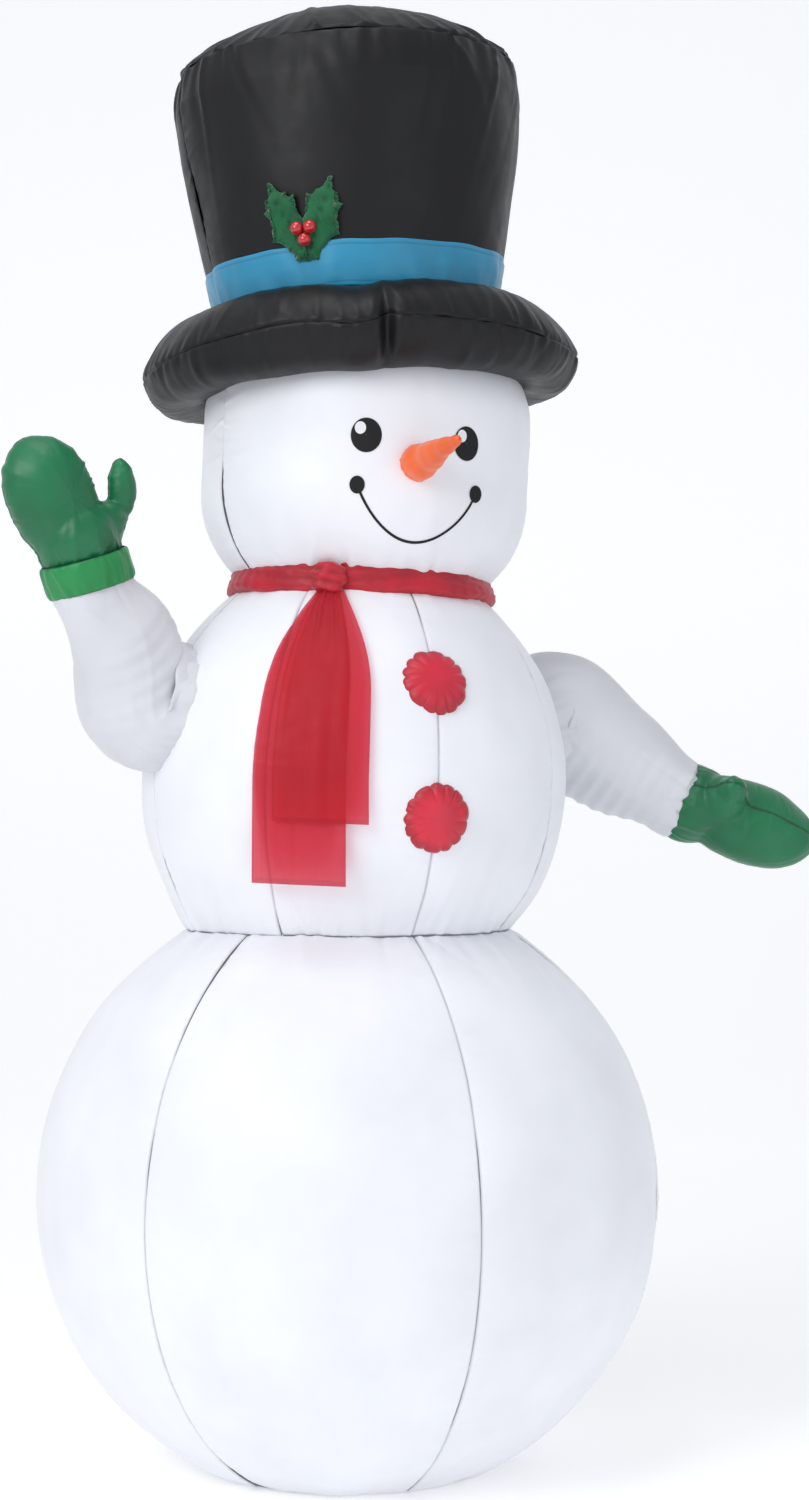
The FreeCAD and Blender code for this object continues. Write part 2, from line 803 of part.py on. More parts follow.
def impeller():
    """Hub with pitched blades inside a thin outer ring."""
    wheel = tube_y(hub_radius, 0, impeller_back, impeller_front)
    rim = tube_y(impeller_radius, impeller_radius - 2.0, impeller_back + 4.0, impeller_front - 4.0)
    reach = impeller_radius - 1.0 - (hub_radius - 2.0)
    blade = box_at((hub_radius - 2.0 + reach / 2, 0, 0),
                   (reach, impeller_depth * 0.72, blade_thickness))
    blade.rotate(ORIGIN, Vector(1, 0, 0), blade_pitch)
    blade.translate(Vector(0, (impeller_front + impeller_back) / 2, 0))
    wheel = wheel.fuse([rim] + around(blade, blade_count))
    bore = tube_y(shaft_radius, 0, impeller_back - 1.0, impeller_front + 1.0)
    return wheel.cut(bore).removeSplitter()


def fan_shaft():
    return tube_y(shaft_radius, 0, motor_front - 30.0, impeller_front)


def fan_motor():
    motor = tube_y(motor_radius, 0, motor_back, motor_front)
    return motor.cut(tube_y(shaft_radius + running_clearance, 0, motor_front - 31.0, motor_front))


def motor_bracket():
    """Ring inside the housing with three arms that carry the motor."""
    start = motor_back + 4.0
    end = start + 9.0
    bracket = tube_y(housing_bore, housing_bore - 4.0, start, end)
    collar = tube_y(motor_radius + 4.0, motor_radius, start, end)
    reach = housing_bore - 2.0 - (motor_radius + 2.0)
    spoke = box_at((motor_radius + 2.0 + reach / 2, (start + end) / 2, 0),
                   (reach, end - start, 7.0))
    return bracket.fuse([collar] + around(spoke, 3, 30.0)).removeSplitter()


def power_inlet():
    """Low voltage socket on the outside of the flange."""
    start = flange_thickness / 2
    depth = inlet_size[2]
    z = -(flange_radius + housing_radius) / 2
    block = box_at((0, start + depth / 2, z), (inlet_size[0], depth, inlet_size[1]))
    bore = Part.makeCylinder(inlet_bore_radius, inlet_bore_depth,
                             Vector(0, start + depth - inlet_bore_depth, z), BLOWER_OUT)
    return block.cut(bore)


def blower():
    pieces = {"blower_housing": blower_housing(), "clamp_ring": clamp_ring(),
              "flange_screws": flange_screws(), "intake_grille": intake_grille(),
              "filter_screen": filter_screen(), "impeller": impeller(),
              "fan_shaft": fan_shaft(), "fan_motor": fan_motor(),
              "motor_bracket": motor_bracket(), "power_inlet": power_inlet()}
    place = blower_place()
    for piece in pieces.values():
        piece.Placement = place
    return pieces


# ---- lamps --------------------------------------------------------------------

def lamp_centre(rise):
    point = Vector(0, 0, rise)
    if rise <= waist_z:
        return point
    return lean_point(point)


def rounded_route(points):
    """Straight runs joined by the widest tangent arcs that the runs allow."""
    edges = []
    start = points[0]
    for before, corner, after in zip(points, points[1:], points[2:]):
        back = before - corner
        ahead = after - corner
        half_turn = (math.pi - back.getAngle(ahead)) / 2
        shorter = min(back.Length, ahead.Length)
        radius = 0.45 * shorter / math.tan(half_turn)
        cut_back = 0.45 * shorter
        enter = corner + back.normalize() * cut_back
        leave = corner + ahead.normalize() * cut_back
        bisector = (back + ahead).normalize()
        middle = corner + bisector * (radius / math.cos(half_turn) - radius)
        edges.append(Part.LineSegment(start, enter).toShape())
        edges.append(Part.Arc(enter, middle, leave).toShape())
        print("lamp lead bend radius %.0f mm" % radius)
        start = leave
    edges.append(Part.LineSegment(start, points[-1]).toShape())
    return Part.Wire(edges)


def tube_along(wire):
    first = wire.OrderedEdges[0]
    axis = first.tangentAt(first.FirstParameter)
    section = ring_wire(wire.OrderedVertexes[0].Point, axis, lead_radius)
    tube = wire.makePipeShell([section], True, False)
    expected = math.pi * lead_radius ** 2 * wire.Length
    print("lamp lead %.0f mm, volume %.4f of section times length"
          % (wire.Length, tube.Volume / expected))
    return tube


def lamp_lead():
    """From the blower to the lowest lamp, and on up from lamp to lamp."""
    half = lamp_height / 2
    place = blower_place()
    start = place.multVec(Vector(0, -housing_depth - 1.0, 0))
    reach = math.hypot(start.x, start.y)
    lowest = lamp_centre(lamp_rises[0])
    rows = ((0.80, 42.0), (0.56, 62.0), (0.30, 56.0), (0.10, 96.0))
    route = [start] + [polar(blower_theta, reach * share, start.z + rise) for share, rise in rows]
    route.append(lowest - Vector(0, 0, half + 30.0))
    route.append(lowest - Vector(0, 0, half))
    spans = [tube_along(rounded_route(route))]
    for low, high in zip(lamp_rises, lamp_rises[1:]):
        bottom = lamp_centre(low) + Vector(0, 0, half)
        top = lamp_centre(high) - Vector(0, 0, half)
        spans.append(Part.makeCylinder(lead_radius, (top - bottom).Length, bottom, top - bottom)
                     .cut(above(top.z)).cut(below(bottom.z)))
    return Part.makeCompound(spans)


def lamps():
    sockets = []
    bulbs = []
    for rise in lamp_rises:
        centre = lamp_centre(rise)
        socket = Part.makeCylinder(lamp_radius, lamp_height,
                                   centre - Vector(0, 0, lamp_height / 2))
        bulb = Part.makeSphere(bulb_radius, centre - Vector(0, lamp_radius + bulb_radius * 0.7, 0))
        sockets.append(socket)
        bulbs.append(bulb.cut(socket))
    top = lamp_centre(lamp_rises[-1]) + Vector(0, 0, lamp_height / 2)
    crest = hat_point(0.0, 0.0, brim_z + hat_height - wall - seam_gap)
    strap = Part.makeBox(hanger_width, hanger_thickness, (crest - top).Length,
                         Vector(-hanger_width / 2, -hanger_thickness / 2, 0))
    strap.Placement = Placement(top, Rotation(UP, crest - top))
    strap = strap.cut(below(top.z))
    return {"lamp_sockets": Part.makeCompound(sockets), "lamp_bulbs": Part.makeCompound(bulbs),
            "lamp_lead": lamp_lead(), "lamp_hanger": strap}


def hat_point(x, y, z):
    pivot = Vector(0, 0, brim_z)
    spin = Rotation(lean_axis, hat_lean)
    return pivot + spin.multVec(Vector(x, y, z) - pivot) + lean_side * hat_shift


# ---- zip ----------------------------------------------------------------------
# The zip follows a back seam of the lower ball, so it is an arc about a level axis
# through the middle of that ball.

zip_theta = lower_seam_theta + 180.0
zip_centre = polar(zip_theta, lower_curve.centre_radius, lower_curve.centre_z)
zip_axis = UP.cross(polar(zip_theta, 1.0, 0.0))
zip_foot = lower_curve.radius + seam_gap


def zip_strip(width, start, thickness, offset=0.0):
    """Strip of a given width that follows the seam, standing on its surface."""
    low, high = zip_elevation
    out = polar(zip_theta, 1.0, 0.0)
    side = zip_axis * (width / 2)
    shift = zip_axis * offset
    corners = []
    for reach, way in ((start, -1), (start, 1), (start + thickness, 1), (start + thickness, -1)):
        corners.append(zip_centre + out * reach + side * way + shift)
    face = Part.Face(Part.makePolygon(corners + corners[:1]))
    face.rotate(zip_centre, zip_axis, -low)
    return face.revolve(zip_centre, zip_axis, low - high)


def zip_block(elevation, size, start):
    """Block on the seam at one elevation: size across, out and along."""
    block = box_at((0, 0, size[1] / 2), (size[0], size[2], size[1]))
    out = polar(zip_theta, math.cos(math.radians(elevation)), math.sin(math.radians(elevation)))
    turn = Rotation(zip_axis, UP.cross(zip_axis), out, "ZXY")
    block.Placement = Placement(zip_centre + out * start, turn)
    return block


def zipper():
    tapes = []
    half = (zip_width - zip_teeth_width) / 4
    offset = zip_teeth_width / 2 + half
    for way in (-1, 1):
        tapes.append(zip_strip(2 * half, zip_foot, zip_tape_thickness, way * offset))
    teeth = zip_strip(zip_teeth_width, zip_foot, zip_teeth_height)
    parked = zip_elevation[1] - 2.0
    across, out, along = zip_slider_size
    slider = zip_block(parked, (across, out, along), zip_foot + zip_tape_thickness
                       + zip_slider_clearance)
    channel = zip_block(parked, (zip_teeth_width + 2 * zip_slider_clearance,
                                 zip_teeth_height, along + 2.0), zip_foot)
    slider = slider.cut(channel)
    return {"zip_tape": Part.makeCompound(tapes + [teeth]), "zip_slider": slider}


def zip_pull():
    """Flat tab that hangs from the slider."""
    elevation = zip_elevation[1] - 2.0
    start = zip_foot + zip_tape_thickness + zip_slider_clearance + zip_slider_size[1] + seam_gap
    out = polar(zip_theta, math.cos(math.radians(elevation)), math.sin(math.radians(elevation)))
    top = zip_centre + out * start
    tab = Part.makeBox(zip_pull_width, 2.0, zip_pull_length,
                       Vector(-zip_pull_width / 2, 0, -zip_pull_length))
    tab.rotate(ORIGIN, UP, zip_theta - 180.0)
    tab.translate(top + polar(zip_theta, 0.4, 4.0))
    return tab


# ---- tether loops and ground loops --------------------------------------------

tether_hole = tether_bar + 4 * running_clearance
tether_stand = tether_hole + tab_thickness + 2.0


def tether_place(theta):
    """Middle of a ring's top bar, with +Y square to the torso's surface there."""
    z = waist_z + tether_rise
    tilt = torso_curve.elevation_at(z)
    reach = torso_curve.radius_at(z) + tether_stand * math.cos(math.radians(tilt))
    rise = z + tether_stand * math.sin(math.radians(tilt))
    turn = Rotation(UP, theta - 180.0).multiply(Rotation(Vector(1, 0, 0), tilt))
    return Placement(polar(theta, reach, rise), turn)


def tether_ring():
    """D ring: a straight top bar, two short sides and a round bottom."""
    width, height = tether_inside
    half = width / 2 + tether_bar
    side = height - width / 2
    top = Part.makeCylinder(tether_bar, 2 * half, Vector(-half, 0, 0), Vector(1, 0, 0))
    section = Part.Face(ring_wire(Vector(half, 0, -side), UP, tether_bar))
    ring = top.fuse(section.revolve(Vector(0, 0, -side), Vector(0, 1, 0), 180))
    for way in (-1, 1):
        ring = ring.fuse(Part.makeCylinder(tether_bar, side, Vector(way * half, 0, -side)))
        ring = ring.fuse(Part.makeSphere(tether_bar, Vector(way * half, 0, 0)))
    return ring.removeSplitter()


def tether_tab():
    """Webbing sewn to the torso, folded round the ring's top bar."""
    outer = tether_hole + tab_thickness
    start = Vector(-tab_width / 2, 0, 0)
    roll = Part.makeCylinder(outer, tab_width, start, Vector(1, 0, 0))
    foot = Part.makeBox(tab_width, tether_stand + 1.0, tab_thickness,
                        Vector(-tab_width / 2, -tether_stand - 1.0, outer - tab_thickness))
    tab = roll.fuse(foot)
    hole = Part.makeCylinder(tether_hole, tab_width, start, Vector(1, 0, 0))
    return tab.cut(hole).removeSplitter()


def tethers():
    pieces = {}
    tabs = []
    for name, theta in zip(("left", "right"), tether_thetas):
        ring = tether_ring()
        tab = tether_tab()
        ring.Placement = tether_place(theta)
        tab.Placement = tether_place(theta)
        tabs.append(lean(tab).cut(torso_body))
        pieces["tether_ring_" + name] = lean(ring)
    pieces["tether_tabs"] = Part.makeCompound(tabs)
    return pieces


def ground_loops():
    """Flat webbing loops at the foot, with a slot for a ground stake."""
    loops = []
    start = base_radius
    for theta in ground_loop_thetas:
        strap = Part.makeBox(ground_loop_width, ground_loop_reach, ground_loop_thickness,
                             Vector(-ground_loop_width / 2, start, 0))
        slot = Part.makeBox(ground_loop_slot[0], ground_loop_slot[1], 4 * ground_loop_thickness,
                            Vector(-ground_loop_slot[0] / 2,
                                   start + ground_loop_reach - ground_loop_slot[1] - 10.0,
                                   -ground_loop_thickness))
        loop = strap.cut(slot)
        loop.rotate(ORIGIN, UP, theta - 180.0)
        loop = loop.cut(Part.makeCylinder(base_radius, wall * 2))
        loops.append(loop)
    loops = [loop.cut(lower_body) for loop in loops]
    return {"ground_loops": Part.makeCompound(loops)}


# ---- everything ---------------------------------------------------------------

def all_pieces():
    pieces = {"base_panel": base_panel()}
    pieces.update(lower_ball())
    pieces.update(torso_ball())
    pieces.update(head())
    pieces.update(hat())
    pieces.update(hat_band())
    pieces.update(holly())
    pieces.update(carrot_nose())
    pieces["coat_buttons"] = Part.makeCompound([button(rise) for rise in button_rises])
    pieces.update(scarf())
    pieces.update(arm_pieces())
    pieces.update(blower())
    pieces.update(lamps())
    pieces.update(zipper())
    pieces["zip_pull"] = zip_pull()
    pieces.update(tethers())
    pieces.update(ground_loops())
    return pieces


def main():
    os.makedirs("parts", exist_ok=True)
    pieces = all_pieces()
    for name, shape in pieces.items():
        if not shape.isValid() or not shape.Solids:
            raise ValueError("bad solid: " + name)
        shape.exportStep("parts/" + name + ".step")
    print(len(pieces), "nodes")


main()
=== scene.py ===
import json
import math

import bmesh
import bpy
import numpy as np
from bpy.props import FloatProperty, FloatVectorProperty, PointerProperty
from mathutils import Matrix, Vector
from mathutils.bvhtree import BVHTree

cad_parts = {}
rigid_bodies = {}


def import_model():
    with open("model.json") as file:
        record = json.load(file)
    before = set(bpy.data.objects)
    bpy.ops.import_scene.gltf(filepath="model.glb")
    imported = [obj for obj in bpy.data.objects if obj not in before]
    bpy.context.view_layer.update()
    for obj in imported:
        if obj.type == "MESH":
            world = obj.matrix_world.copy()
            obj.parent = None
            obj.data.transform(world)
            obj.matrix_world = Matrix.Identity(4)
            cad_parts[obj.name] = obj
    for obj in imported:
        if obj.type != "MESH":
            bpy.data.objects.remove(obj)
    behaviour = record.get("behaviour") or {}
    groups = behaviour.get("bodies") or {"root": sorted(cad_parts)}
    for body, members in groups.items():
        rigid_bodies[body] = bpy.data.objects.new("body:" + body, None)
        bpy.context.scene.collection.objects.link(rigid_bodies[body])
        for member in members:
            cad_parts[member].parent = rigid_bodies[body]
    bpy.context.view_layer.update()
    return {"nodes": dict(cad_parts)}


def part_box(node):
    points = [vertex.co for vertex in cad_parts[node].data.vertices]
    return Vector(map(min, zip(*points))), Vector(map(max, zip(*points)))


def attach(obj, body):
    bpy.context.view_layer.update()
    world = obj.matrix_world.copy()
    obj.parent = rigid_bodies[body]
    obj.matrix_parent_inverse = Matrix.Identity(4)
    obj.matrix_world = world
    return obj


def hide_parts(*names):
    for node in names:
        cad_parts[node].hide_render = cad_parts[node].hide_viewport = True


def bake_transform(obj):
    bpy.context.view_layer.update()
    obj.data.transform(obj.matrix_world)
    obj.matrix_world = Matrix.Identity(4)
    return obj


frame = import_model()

bl_info = {
    "name": "Inflatable yard snowman",
    "version": (1, 0, 0),
    "blender": (4, 5, 0),
    "location": "View3D > Sidebar > Snowman",
    "description": "Builds the sewn and inflated pieces of a yard snowman round its CAD frame",
    "category": "Object",
}

# ---- sizes read from the frame ------------------------------------------------

BASE_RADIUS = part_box("base_panel")[1].x
WAIST_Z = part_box("lower_gore_1")[1].z
LOWER_RADIUS = -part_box("lower_gore_6")[0].y

# ---- sizes of the sewn shape, in metres and degrees ---------------------------

FRONT_TILT = -20.5            # where the viewer stands, from the snowman's front
LOWER_EQUATOR = 0.577
WAIST_RADIUS = 0.3365
LOWER_GORES = 6
LOWER_SEAM = 2.5
TORSO_RADIUS = 0.443
TORSO_EQUATOR = WAIST_Z + 0.336
TORSO_GORES = 8
TORSO_SEAM = 1.5
NECK_Z = WAIST_Z + 0.717
NECK_RADIUS = 0.240
HEAD_RADIUS = 0.3425
CHEEK_Z = NECK_Z + 0.200
TEMPLE_Z = NECK_Z + 0.355
HEAD_TOP = (0.285, NECK_Z + 0.487)
FACE_THETA = -3.5
FACE_HALF = 76.0
BRIM_Z = NECK_Z + 0.494
HAT_FOOT = (0.286, BRIM_Z + 0.055)
HAT_WIDE = (0.364, BRIM_Z + 0.512)
HAT_SHOULDER = (0.350, BRIM_Z + 0.590)
HAT_CREST = BRIM_Z + 0.718
HAT_SEAM = -92.0
BAND_LOW = BRIM_Z + 0.088
BAND_HEIGHT = 0.090
HOLLY_Z = BRIM_Z + 0.220
BODY_LEAN = 2.2
HAT_LEAN = -3.0
HAT_SHIFT = 0.025
LEAN_THETA = 69.5
KNOT_THETA = -34.0


# ---- plain geometry -----------------------------------------------------------

def polar(theta, radius, z):
    """Points at an angle in degrees from the front, a distance from the axis and a height."""
    a = np.radians(theta)
    theta, radius, z = np.broadcast_arrays(a, radius, z)
    return np.stack([radius * np.sin(theta), -radius * np.cos(theta), z], -1)


def unit(vector):
    vector = np.asarray(vector, float)
    return vector / np.linalg.norm(vector)


def turn_matrix(axis, degrees):
    return np.array(Matrix.Rotation(math.radians(degrees), 3, Vector(axis)))


LEAN_SIDE = polar(LEAN_THETA, 1.0, 0.0)
LEAN_AXIS = np.cross([0, 0, 1], LEAN_SIDE)
LEAN_TURN = turn_matrix(LEAN_AXIS, BODY_LEAN)
HAT_TURN = turn_matrix(LEAN_AXIS, HAT_LEAN)
WAIST = np.array([0.0, 0.0, WAIST_Z])
BRIM = np.array([0.0, 0.0, BRIM_Z])


def smooth(x, low, high):
    t = np.clip((x - low) / (high - low), 0, 1)
    return t * t * (3 - 2 * t)


def lean(points):
    """The upper body's lean, which grows over the first stretch above the waist."""
    points = np.asarray(points, float)
    moved = (points - WAIST) @ LEAN_TURN.T + WAIST
    share = smooth(points[..., 2:3], WAIST_Z, WAIST_Z + 0.10)
    return points + (moved - points) * share


def seat_hat(points):
    return (np.asarray(points, float) - BRIM) @ HAT_TURN.T + BRIM + LEAN_SIDE * HAT_SHIFT


def circle_through(start, middle, end):
    """Centre and radius of the circle through three profile points."""
    (ax, ay), (bx, by), (cx, cy) = start, middle, end
    d = 2 * (ax * (by - cy) + bx * (cy - ay) + cx * (ay - by))
    a2, b2, c2 = ax * ax + ay * ay, bx * bx + by * by, cx * cx + cy * cy
    ux = (a2 * (by - cy) + b2 * (cy - ay) + c2 * (ay - by)) / d
    uy = (a2 * (cx - bx) + b2 * (ax - cx) + c2 * (bx - ax)) / d
    return ux, uy, math.hypot(ax - ux, ay - uy)


def arc_points(start, middle, end, count=200):
    """Points along the circular arc through three profile points."""
    ux, uy, radius = circle_through(start, middle, end)
    angles = np.unwrap([math.atan2(y - uy, x - ux) for x, y in (start, middle, end)])
    sweep = np.linspace(angles[0], angles[2], count)
    return np.stack([ux + radius * np.cos(sweep), uy + radius * np.sin(sweep)], -1)


def upright_arc(foot, side, count=120):
    """Arc from a foot that reaches a side point travelling straight up or down."""
    reach, rise = side[0] - foot[0], side[1] - foot[1]
    radius = (reach ** 2 + rise ** 2) / (2 * reach)
    centre = side[0] - radius
    full = math.atan2(rise, foot[0] - centre)
    sweep = np.linspace(full, 0, count)
    return np.stack([centre + radius * np.cos(sweep), side[1] - radius * np.sin(sweep)], -1)


def resample(points, count, share=None):
    """Evenly spaced points along a line, or at the given shares of its length."""
    steps = np.linalg.norm(np.diff(points, axis=0), axis=1)
    length = np.concatenate([[0], np.cumsum(steps)])
    at = (np.linspace(0, 1, count) if share is None else share) * length[-1]
    return np.stack([np.interp(at, length, points[:, k]) for k in range(points.shape[1])], -1)


def crowded(count, pull=0.11):
    """Shares from 0 to 1 that lie closer together towards both ends."""
    t = np.linspace(0, 1, count)
    return t - pull * np.sin(2 * math.pi * t)


LOWER_LINE = arc_points((BASE_RADIUS, 0.0), (LOWER_RADIUS, LOWER_EQUATOR), (WAIST_RADIUS, WAIST_Z))
TORSO_LINE = arc_points((WAIST_RADIUS, WAIST_Z), (TORSO_RADIUS, TORSO_EQUATOR),
                        (NECK_RADIUS, NECK_Z))
HEAD_LINE = np.concatenate([
    upright_arc((NECK_RADIUS, NECK_Z), (HEAD_RADIUS, CHEEK_Z)),
    upright_arc(HEAD_TOP, (HEAD_RADIUS, TEMPLE_Z))[::-1]])
HAT_MIDDLE = ((HAT_FOOT[0] + HAT_WIDE[0]) / 2 + 0.007, (HAT_FOOT[1] + HAT_WIDE[1]) / 2)
HAT_LINE = np.concatenate([
    arc_points(HAT_FOOT, HAT_MIDDLE, HAT_WIDE),
    upright_arc(HAT_SHOULDER, HAT_WIDE)[::-1][1:]])


def line_radius(line, z):
    order = np.argsort(line[:, 1])
    return np.interp(z, line[order, 1], line[order, 0])


def grid_normals(points, outward_from, wrap=False):
    """Unit normals of a grid of points, turned away from an inner point or line."""
    du = np.gradient(points, axis=1)
    if wrap:
        du[:, 0] = du[:, -1] = points[:, 1] - points[:, -2]
    dv = np.gradient(points, axis=0)
    normals = np.cross(du, dv)
    size = np.linalg.norm(normals, axis=-1, keepdims=True)
    normals = normals / np.maximum(size, 1e-12)
    facing = np.sum(normals * (points - outward_from), axis=-1).sum()
    return normals if facing >= 0 else -normals


def from_edge(points, edge):
    """The grid with its rows along an edge and its columns away from it, and the way back."""
    if edge == "left":
        return points, lambda field: field
    if edge == "right":
        return points[:, ::-1], lambda field: field[:, ::-1]
    if edge == "low":
        return points.transpose(1, 0, 2), lambda field: field.T
    return points[::-1].transpose(1, 0, 2), lambda field: field.T[::-1]


def edge_lengths(points):
    """Distance along the first column, and of every point from it along its row."""
    along = np.linalg.norm(np.diff(points[:, 0], axis=0), axis=1)
    away = np.linalg.norm(np.diff(points, axis=1), axis=2)
    s = np.concatenate([[0], np.cumsum(along)])
    d = np.concatenate([np.zeros((len(points), 1)), np.cumsum(away, axis=1)], axis=1)
    return s, d


def ridges(s, d, length, seed, pitch=0.014, height=0.0016, width=0.005, reach=0.03, rise=0.004):
    """Short ridges that cross a sewn line, from each point's place along it and distance to it."""
    rng = np.random.default_rng(seed)
    field = np.zeros(d.shape)
    count = max(int(length / pitch), 1)
    for place in (np.arange(count) + rng.uniform(0, 1, count)) * length / count:
        tall = height * rng.uniform(0.15, 1.25) * rng.choice([1, 1, -0.7])
        wide = width * rng.uniform(0.6, 1.7)
        far = reach * rng.lognormal(0, 0.5)
        slant = rng.normal(0, 0.22)
        near = (np.abs(s - place) < 4 * wide + far) & (d < 5 * far)
        away = d[near]
        across = (s[near] - place - slant * away) / (wide * (1 + away / far * 0.5))
        field[near] += tall * np.exp(-across ** 2 - away / far)
    return field * (1 - np.exp(-d / rise))


def puckers(points, edge, seed, **style):
    """Ridges that run away from a panel's sewn edge, where its thread gathers the cloth."""
    rows, back = from_edge(points, edge)
    s, d = edge_lengths(rows)
    return back(ridges(np.broadcast_to(s[:, None], d.shape), d, s[-1], seed, **style))


def edge_mask(points, edge, width):
    """1 on a sewn edge, falling to 0 over a width."""
    rows, back = from_edge(points, edge)
    return back(np.exp(-(edge_lengths(rows)[1] / width) ** 2))


def rolling(points, seed, height, scale, count=9):
    """Broad soft unevenness of inflated cloth, as a sum of a few waves."""
    rng = np.random.default_rng(seed)
    field = np.zeros(points.shape[:-1])
    for _ in range(count):
        way = unit(rng.normal(size=3)) * 2 * math.pi / (scale * rng.uniform(0.7, 1.6))
        field += np.sin(points @ way + rng.uniform(0, 6.3))
    return field * height / math.sqrt(count)


# ---- meshes and pieces --------------------------------------------------------

def mesh_piece(name, points, faces, material, masks=None):
    mesh = bpy.data.meshes.new(name)
    mesh.from_pydata(points.reshape(-1, 3).tolist(), [], faces.tolist())
    mesh.polygons.foreach_set("use_smooth", [True] * len(mesh.polygons))
    for mask, values in (masks or {}).items():
        attribute = mesh.attributes.new(mask, "FLOAT", "POINT")
        attribute.data.foreach_set("value", np.ascontiguousarray(values, np.float32).ravel())
    mesh.validate()
    mesh.update()
    piece = bpy.data.objects.new(name, mesh)
    bpy.context.scene.collection.objects.link(piece)
    mesh.materials.append(material)
    return piece


def grid_faces(rows, columns, wrap=False):
    """Quads of a grid; with wrap, its last column is joined to its first."""
    across = columns if wrap else columns - 1
    row, column = np.meshgrid(np.arange(rows - 1), np.arange(across), indexing="ij")
    after = (column + 1) % columns
    corners = [row * columns + column, row * columns + after,
               (row + 1) * columns + after, (row + 1) * columns + column]
    return np.stack(corners, -1).reshape(-1, 4)


def grid_piece(name, points, material, wrap=False, masks=None, inside=None):
    rows, columns = points.shape[:2]
    if inside is not None:
        inside = np.broadcast_to(inside, points.shape)
    if wrap:
        inside = None if inside is None else inside[:, :-1]
        points = points[:, :-1]
        masks = {key: value[:, :-1] for key, value in (masks or {}).items()}
        columns -= 1
    faces = grid_faces(rows, columns, wrap)
    if inside is not None:
        corners = points.reshape(-1, 3)[faces]
        normal = np.cross(corners[:, 1] - corners[:, 0], corners[:, 3] - corners[:, 0])
        if np.sum(normal * (corners[:, 0] - inside.reshape(-1, 3)[faces[:, 0]])) < 0:
            faces = faces[:, ::-1]
    return mesh_piece(name, points, faces, material, masks)


def settle(piece, body, slot, *nodes):
    """The piece rides on a body and stands for some nodes; the slot is not used."""
    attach(piece, body)
    if nodes:
        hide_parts(*nodes)
    return piece


def panel(name, points, material, edges, seed, inside, swell=0.0, roll=0.0015, roll_scale=0.22,
          place=None, wrap=False, extra=None, crease=0.0, calm=()):
    """A sewn panel: swollen between its seams, gathered along them and a little uneven."""
    normals = grid_normals(points, inside, wrap)
    rows, columns = points.shape[:2]
    field = rolling(points, seed, roll, roll_scale)
    if swell:
        u = np.linspace(-1, 1, columns)
        v = np.sin(np.linspace(0, math.pi, rows)) ** 0.5
        field += swell * (1 - u ** 2)[None, :] * v[:, None]
    seam = np.zeros((rows, columns))
    for number, (edge, style) in enumerate(edges):
        field += puckers(points, edge, seed * 17 + number, **style)
        near = edge_mask(points, edge, 0.0026)
        seam = np.maximum(seam, near)
        field -= crease * near
    if extra is not None:
        field += extra
    for centre, radius in calm:
        far = np.linalg.norm(points - centre, axis=-1)
        field = field * smooth(far, radius, radius + 0.05) - 0.0006 * (1 - smooth(far, 0, radius))
    moved = points + normals * field[..., None]
    if wrap:
        moved[:, -1] = moved[:, 0]
    if place:
        moved = place(moved)
        inside = place(np.asarray(inside, float))
    return grid_piece(name, moved, material, wrap, {"seam": seam}, inside)


def revolved(line, start, span, rows, columns, close=None, share=None):
    """Grid of points of a profile turned about the axis, low row first."""
    profile = resample(line, rows, share)
    turn = (np.linspace(0, 1, columns) if close is None else crowded(columns, close)) * span
    return polar(start + turn[None, :], profile[:, :1], profile[:, 1:])


def drop_faces(piece, gone):
    """Remove the faces whose middle satisfies a test."""
    mesh = bmesh.new()
    mesh.from_mesh(piece.data)
    lost = [face for face in mesh.faces if gone(face.calc_center_median())]
    bmesh.ops.delete(mesh, geom=lost, context="FACES")
    mesh.to_mesh(piece.data)
    mesh.free()


class Skin:
    """The outside of some finished pieces, so that others can lie on it."""

    def __init__(self, pieces, place):
        points, faces = [], []
        for piece in pieces:
            foot = len(points)
            points += [piece.matrix_world @ v.co for v in piece.data.vertices]
            faces += [[foot + i for i in f.vertices] for f in piece.data.polygons]
        self.tree = BVHTree.FromPolygons(points, faces)
        self.place = place

    def point(self, theta, z, out=0.0):
        """Place a distance outside the skin, straight out from the axis."""
        axis, ahead = self.place(polar(np.array([theta, theta]), np.array([0.0, 1.0]), z))
        way = unit(ahead - axis)
        hit = self.tree.ray_cast(Vector(axis), Vector(way))[0]
        if hit is None:
            raise RuntimeError(f"no cloth at {theta:.1f} degrees and {z:.3f} m")
        return np.array(hit) + way * out

    def points(self, theta, z, out=0.0):
        theta, z, out = np.broadcast_arrays(theta, z, out)
        flat = [self.point(*place) for place in zip(theta.ravel(), z.ravel(), out.ravel())]
        return np.array(flat).reshape(theta.shape + (3,))


# ---- finishes -----------------------------------------------------------------

def new_group(name, inputs, outputs):
    group = bpy.data.node_groups.new(name, "ShaderNodeTree")
    for label, kind, default in inputs:
        socket = group.interface.new_socket(label, in_out="INPUT", socket_type=kind)
        socket.default_value = default
    for label, kind in outputs:
        group.interface.new_socket(label, in_out="OUTPUT", socket_type=kind)
    return group, group.nodes.new("NodeGroupInput"), group.nodes.new("NodeGroupOutput")


def noise(tree, vector, scale, detail):
    node = tree.nodes.new("ShaderNodeTexNoise")
    node.inputs["Detail"].default_value = detail
    tree.links.new(vector, node.inputs["Vector"])
    if isinstance(scale, float):
        node.inputs["Scale"].default_value = scale
    else:
        tree.links.new(scale, node.inputs["Scale"])
    return node.outputs["Fac"]


def ramp(tree, value, low, high, start, end):
    node = tree.nodes.new("ShaderNodeMapRange")
    for label, number in zip(("From Min", "From Max", "To Min", "To Max"), (low, high, start, end)):
        node.inputs[label].default_value = number
    tree.links.new(value, node.inputs["Value"])
    return node.outputs["Result"]


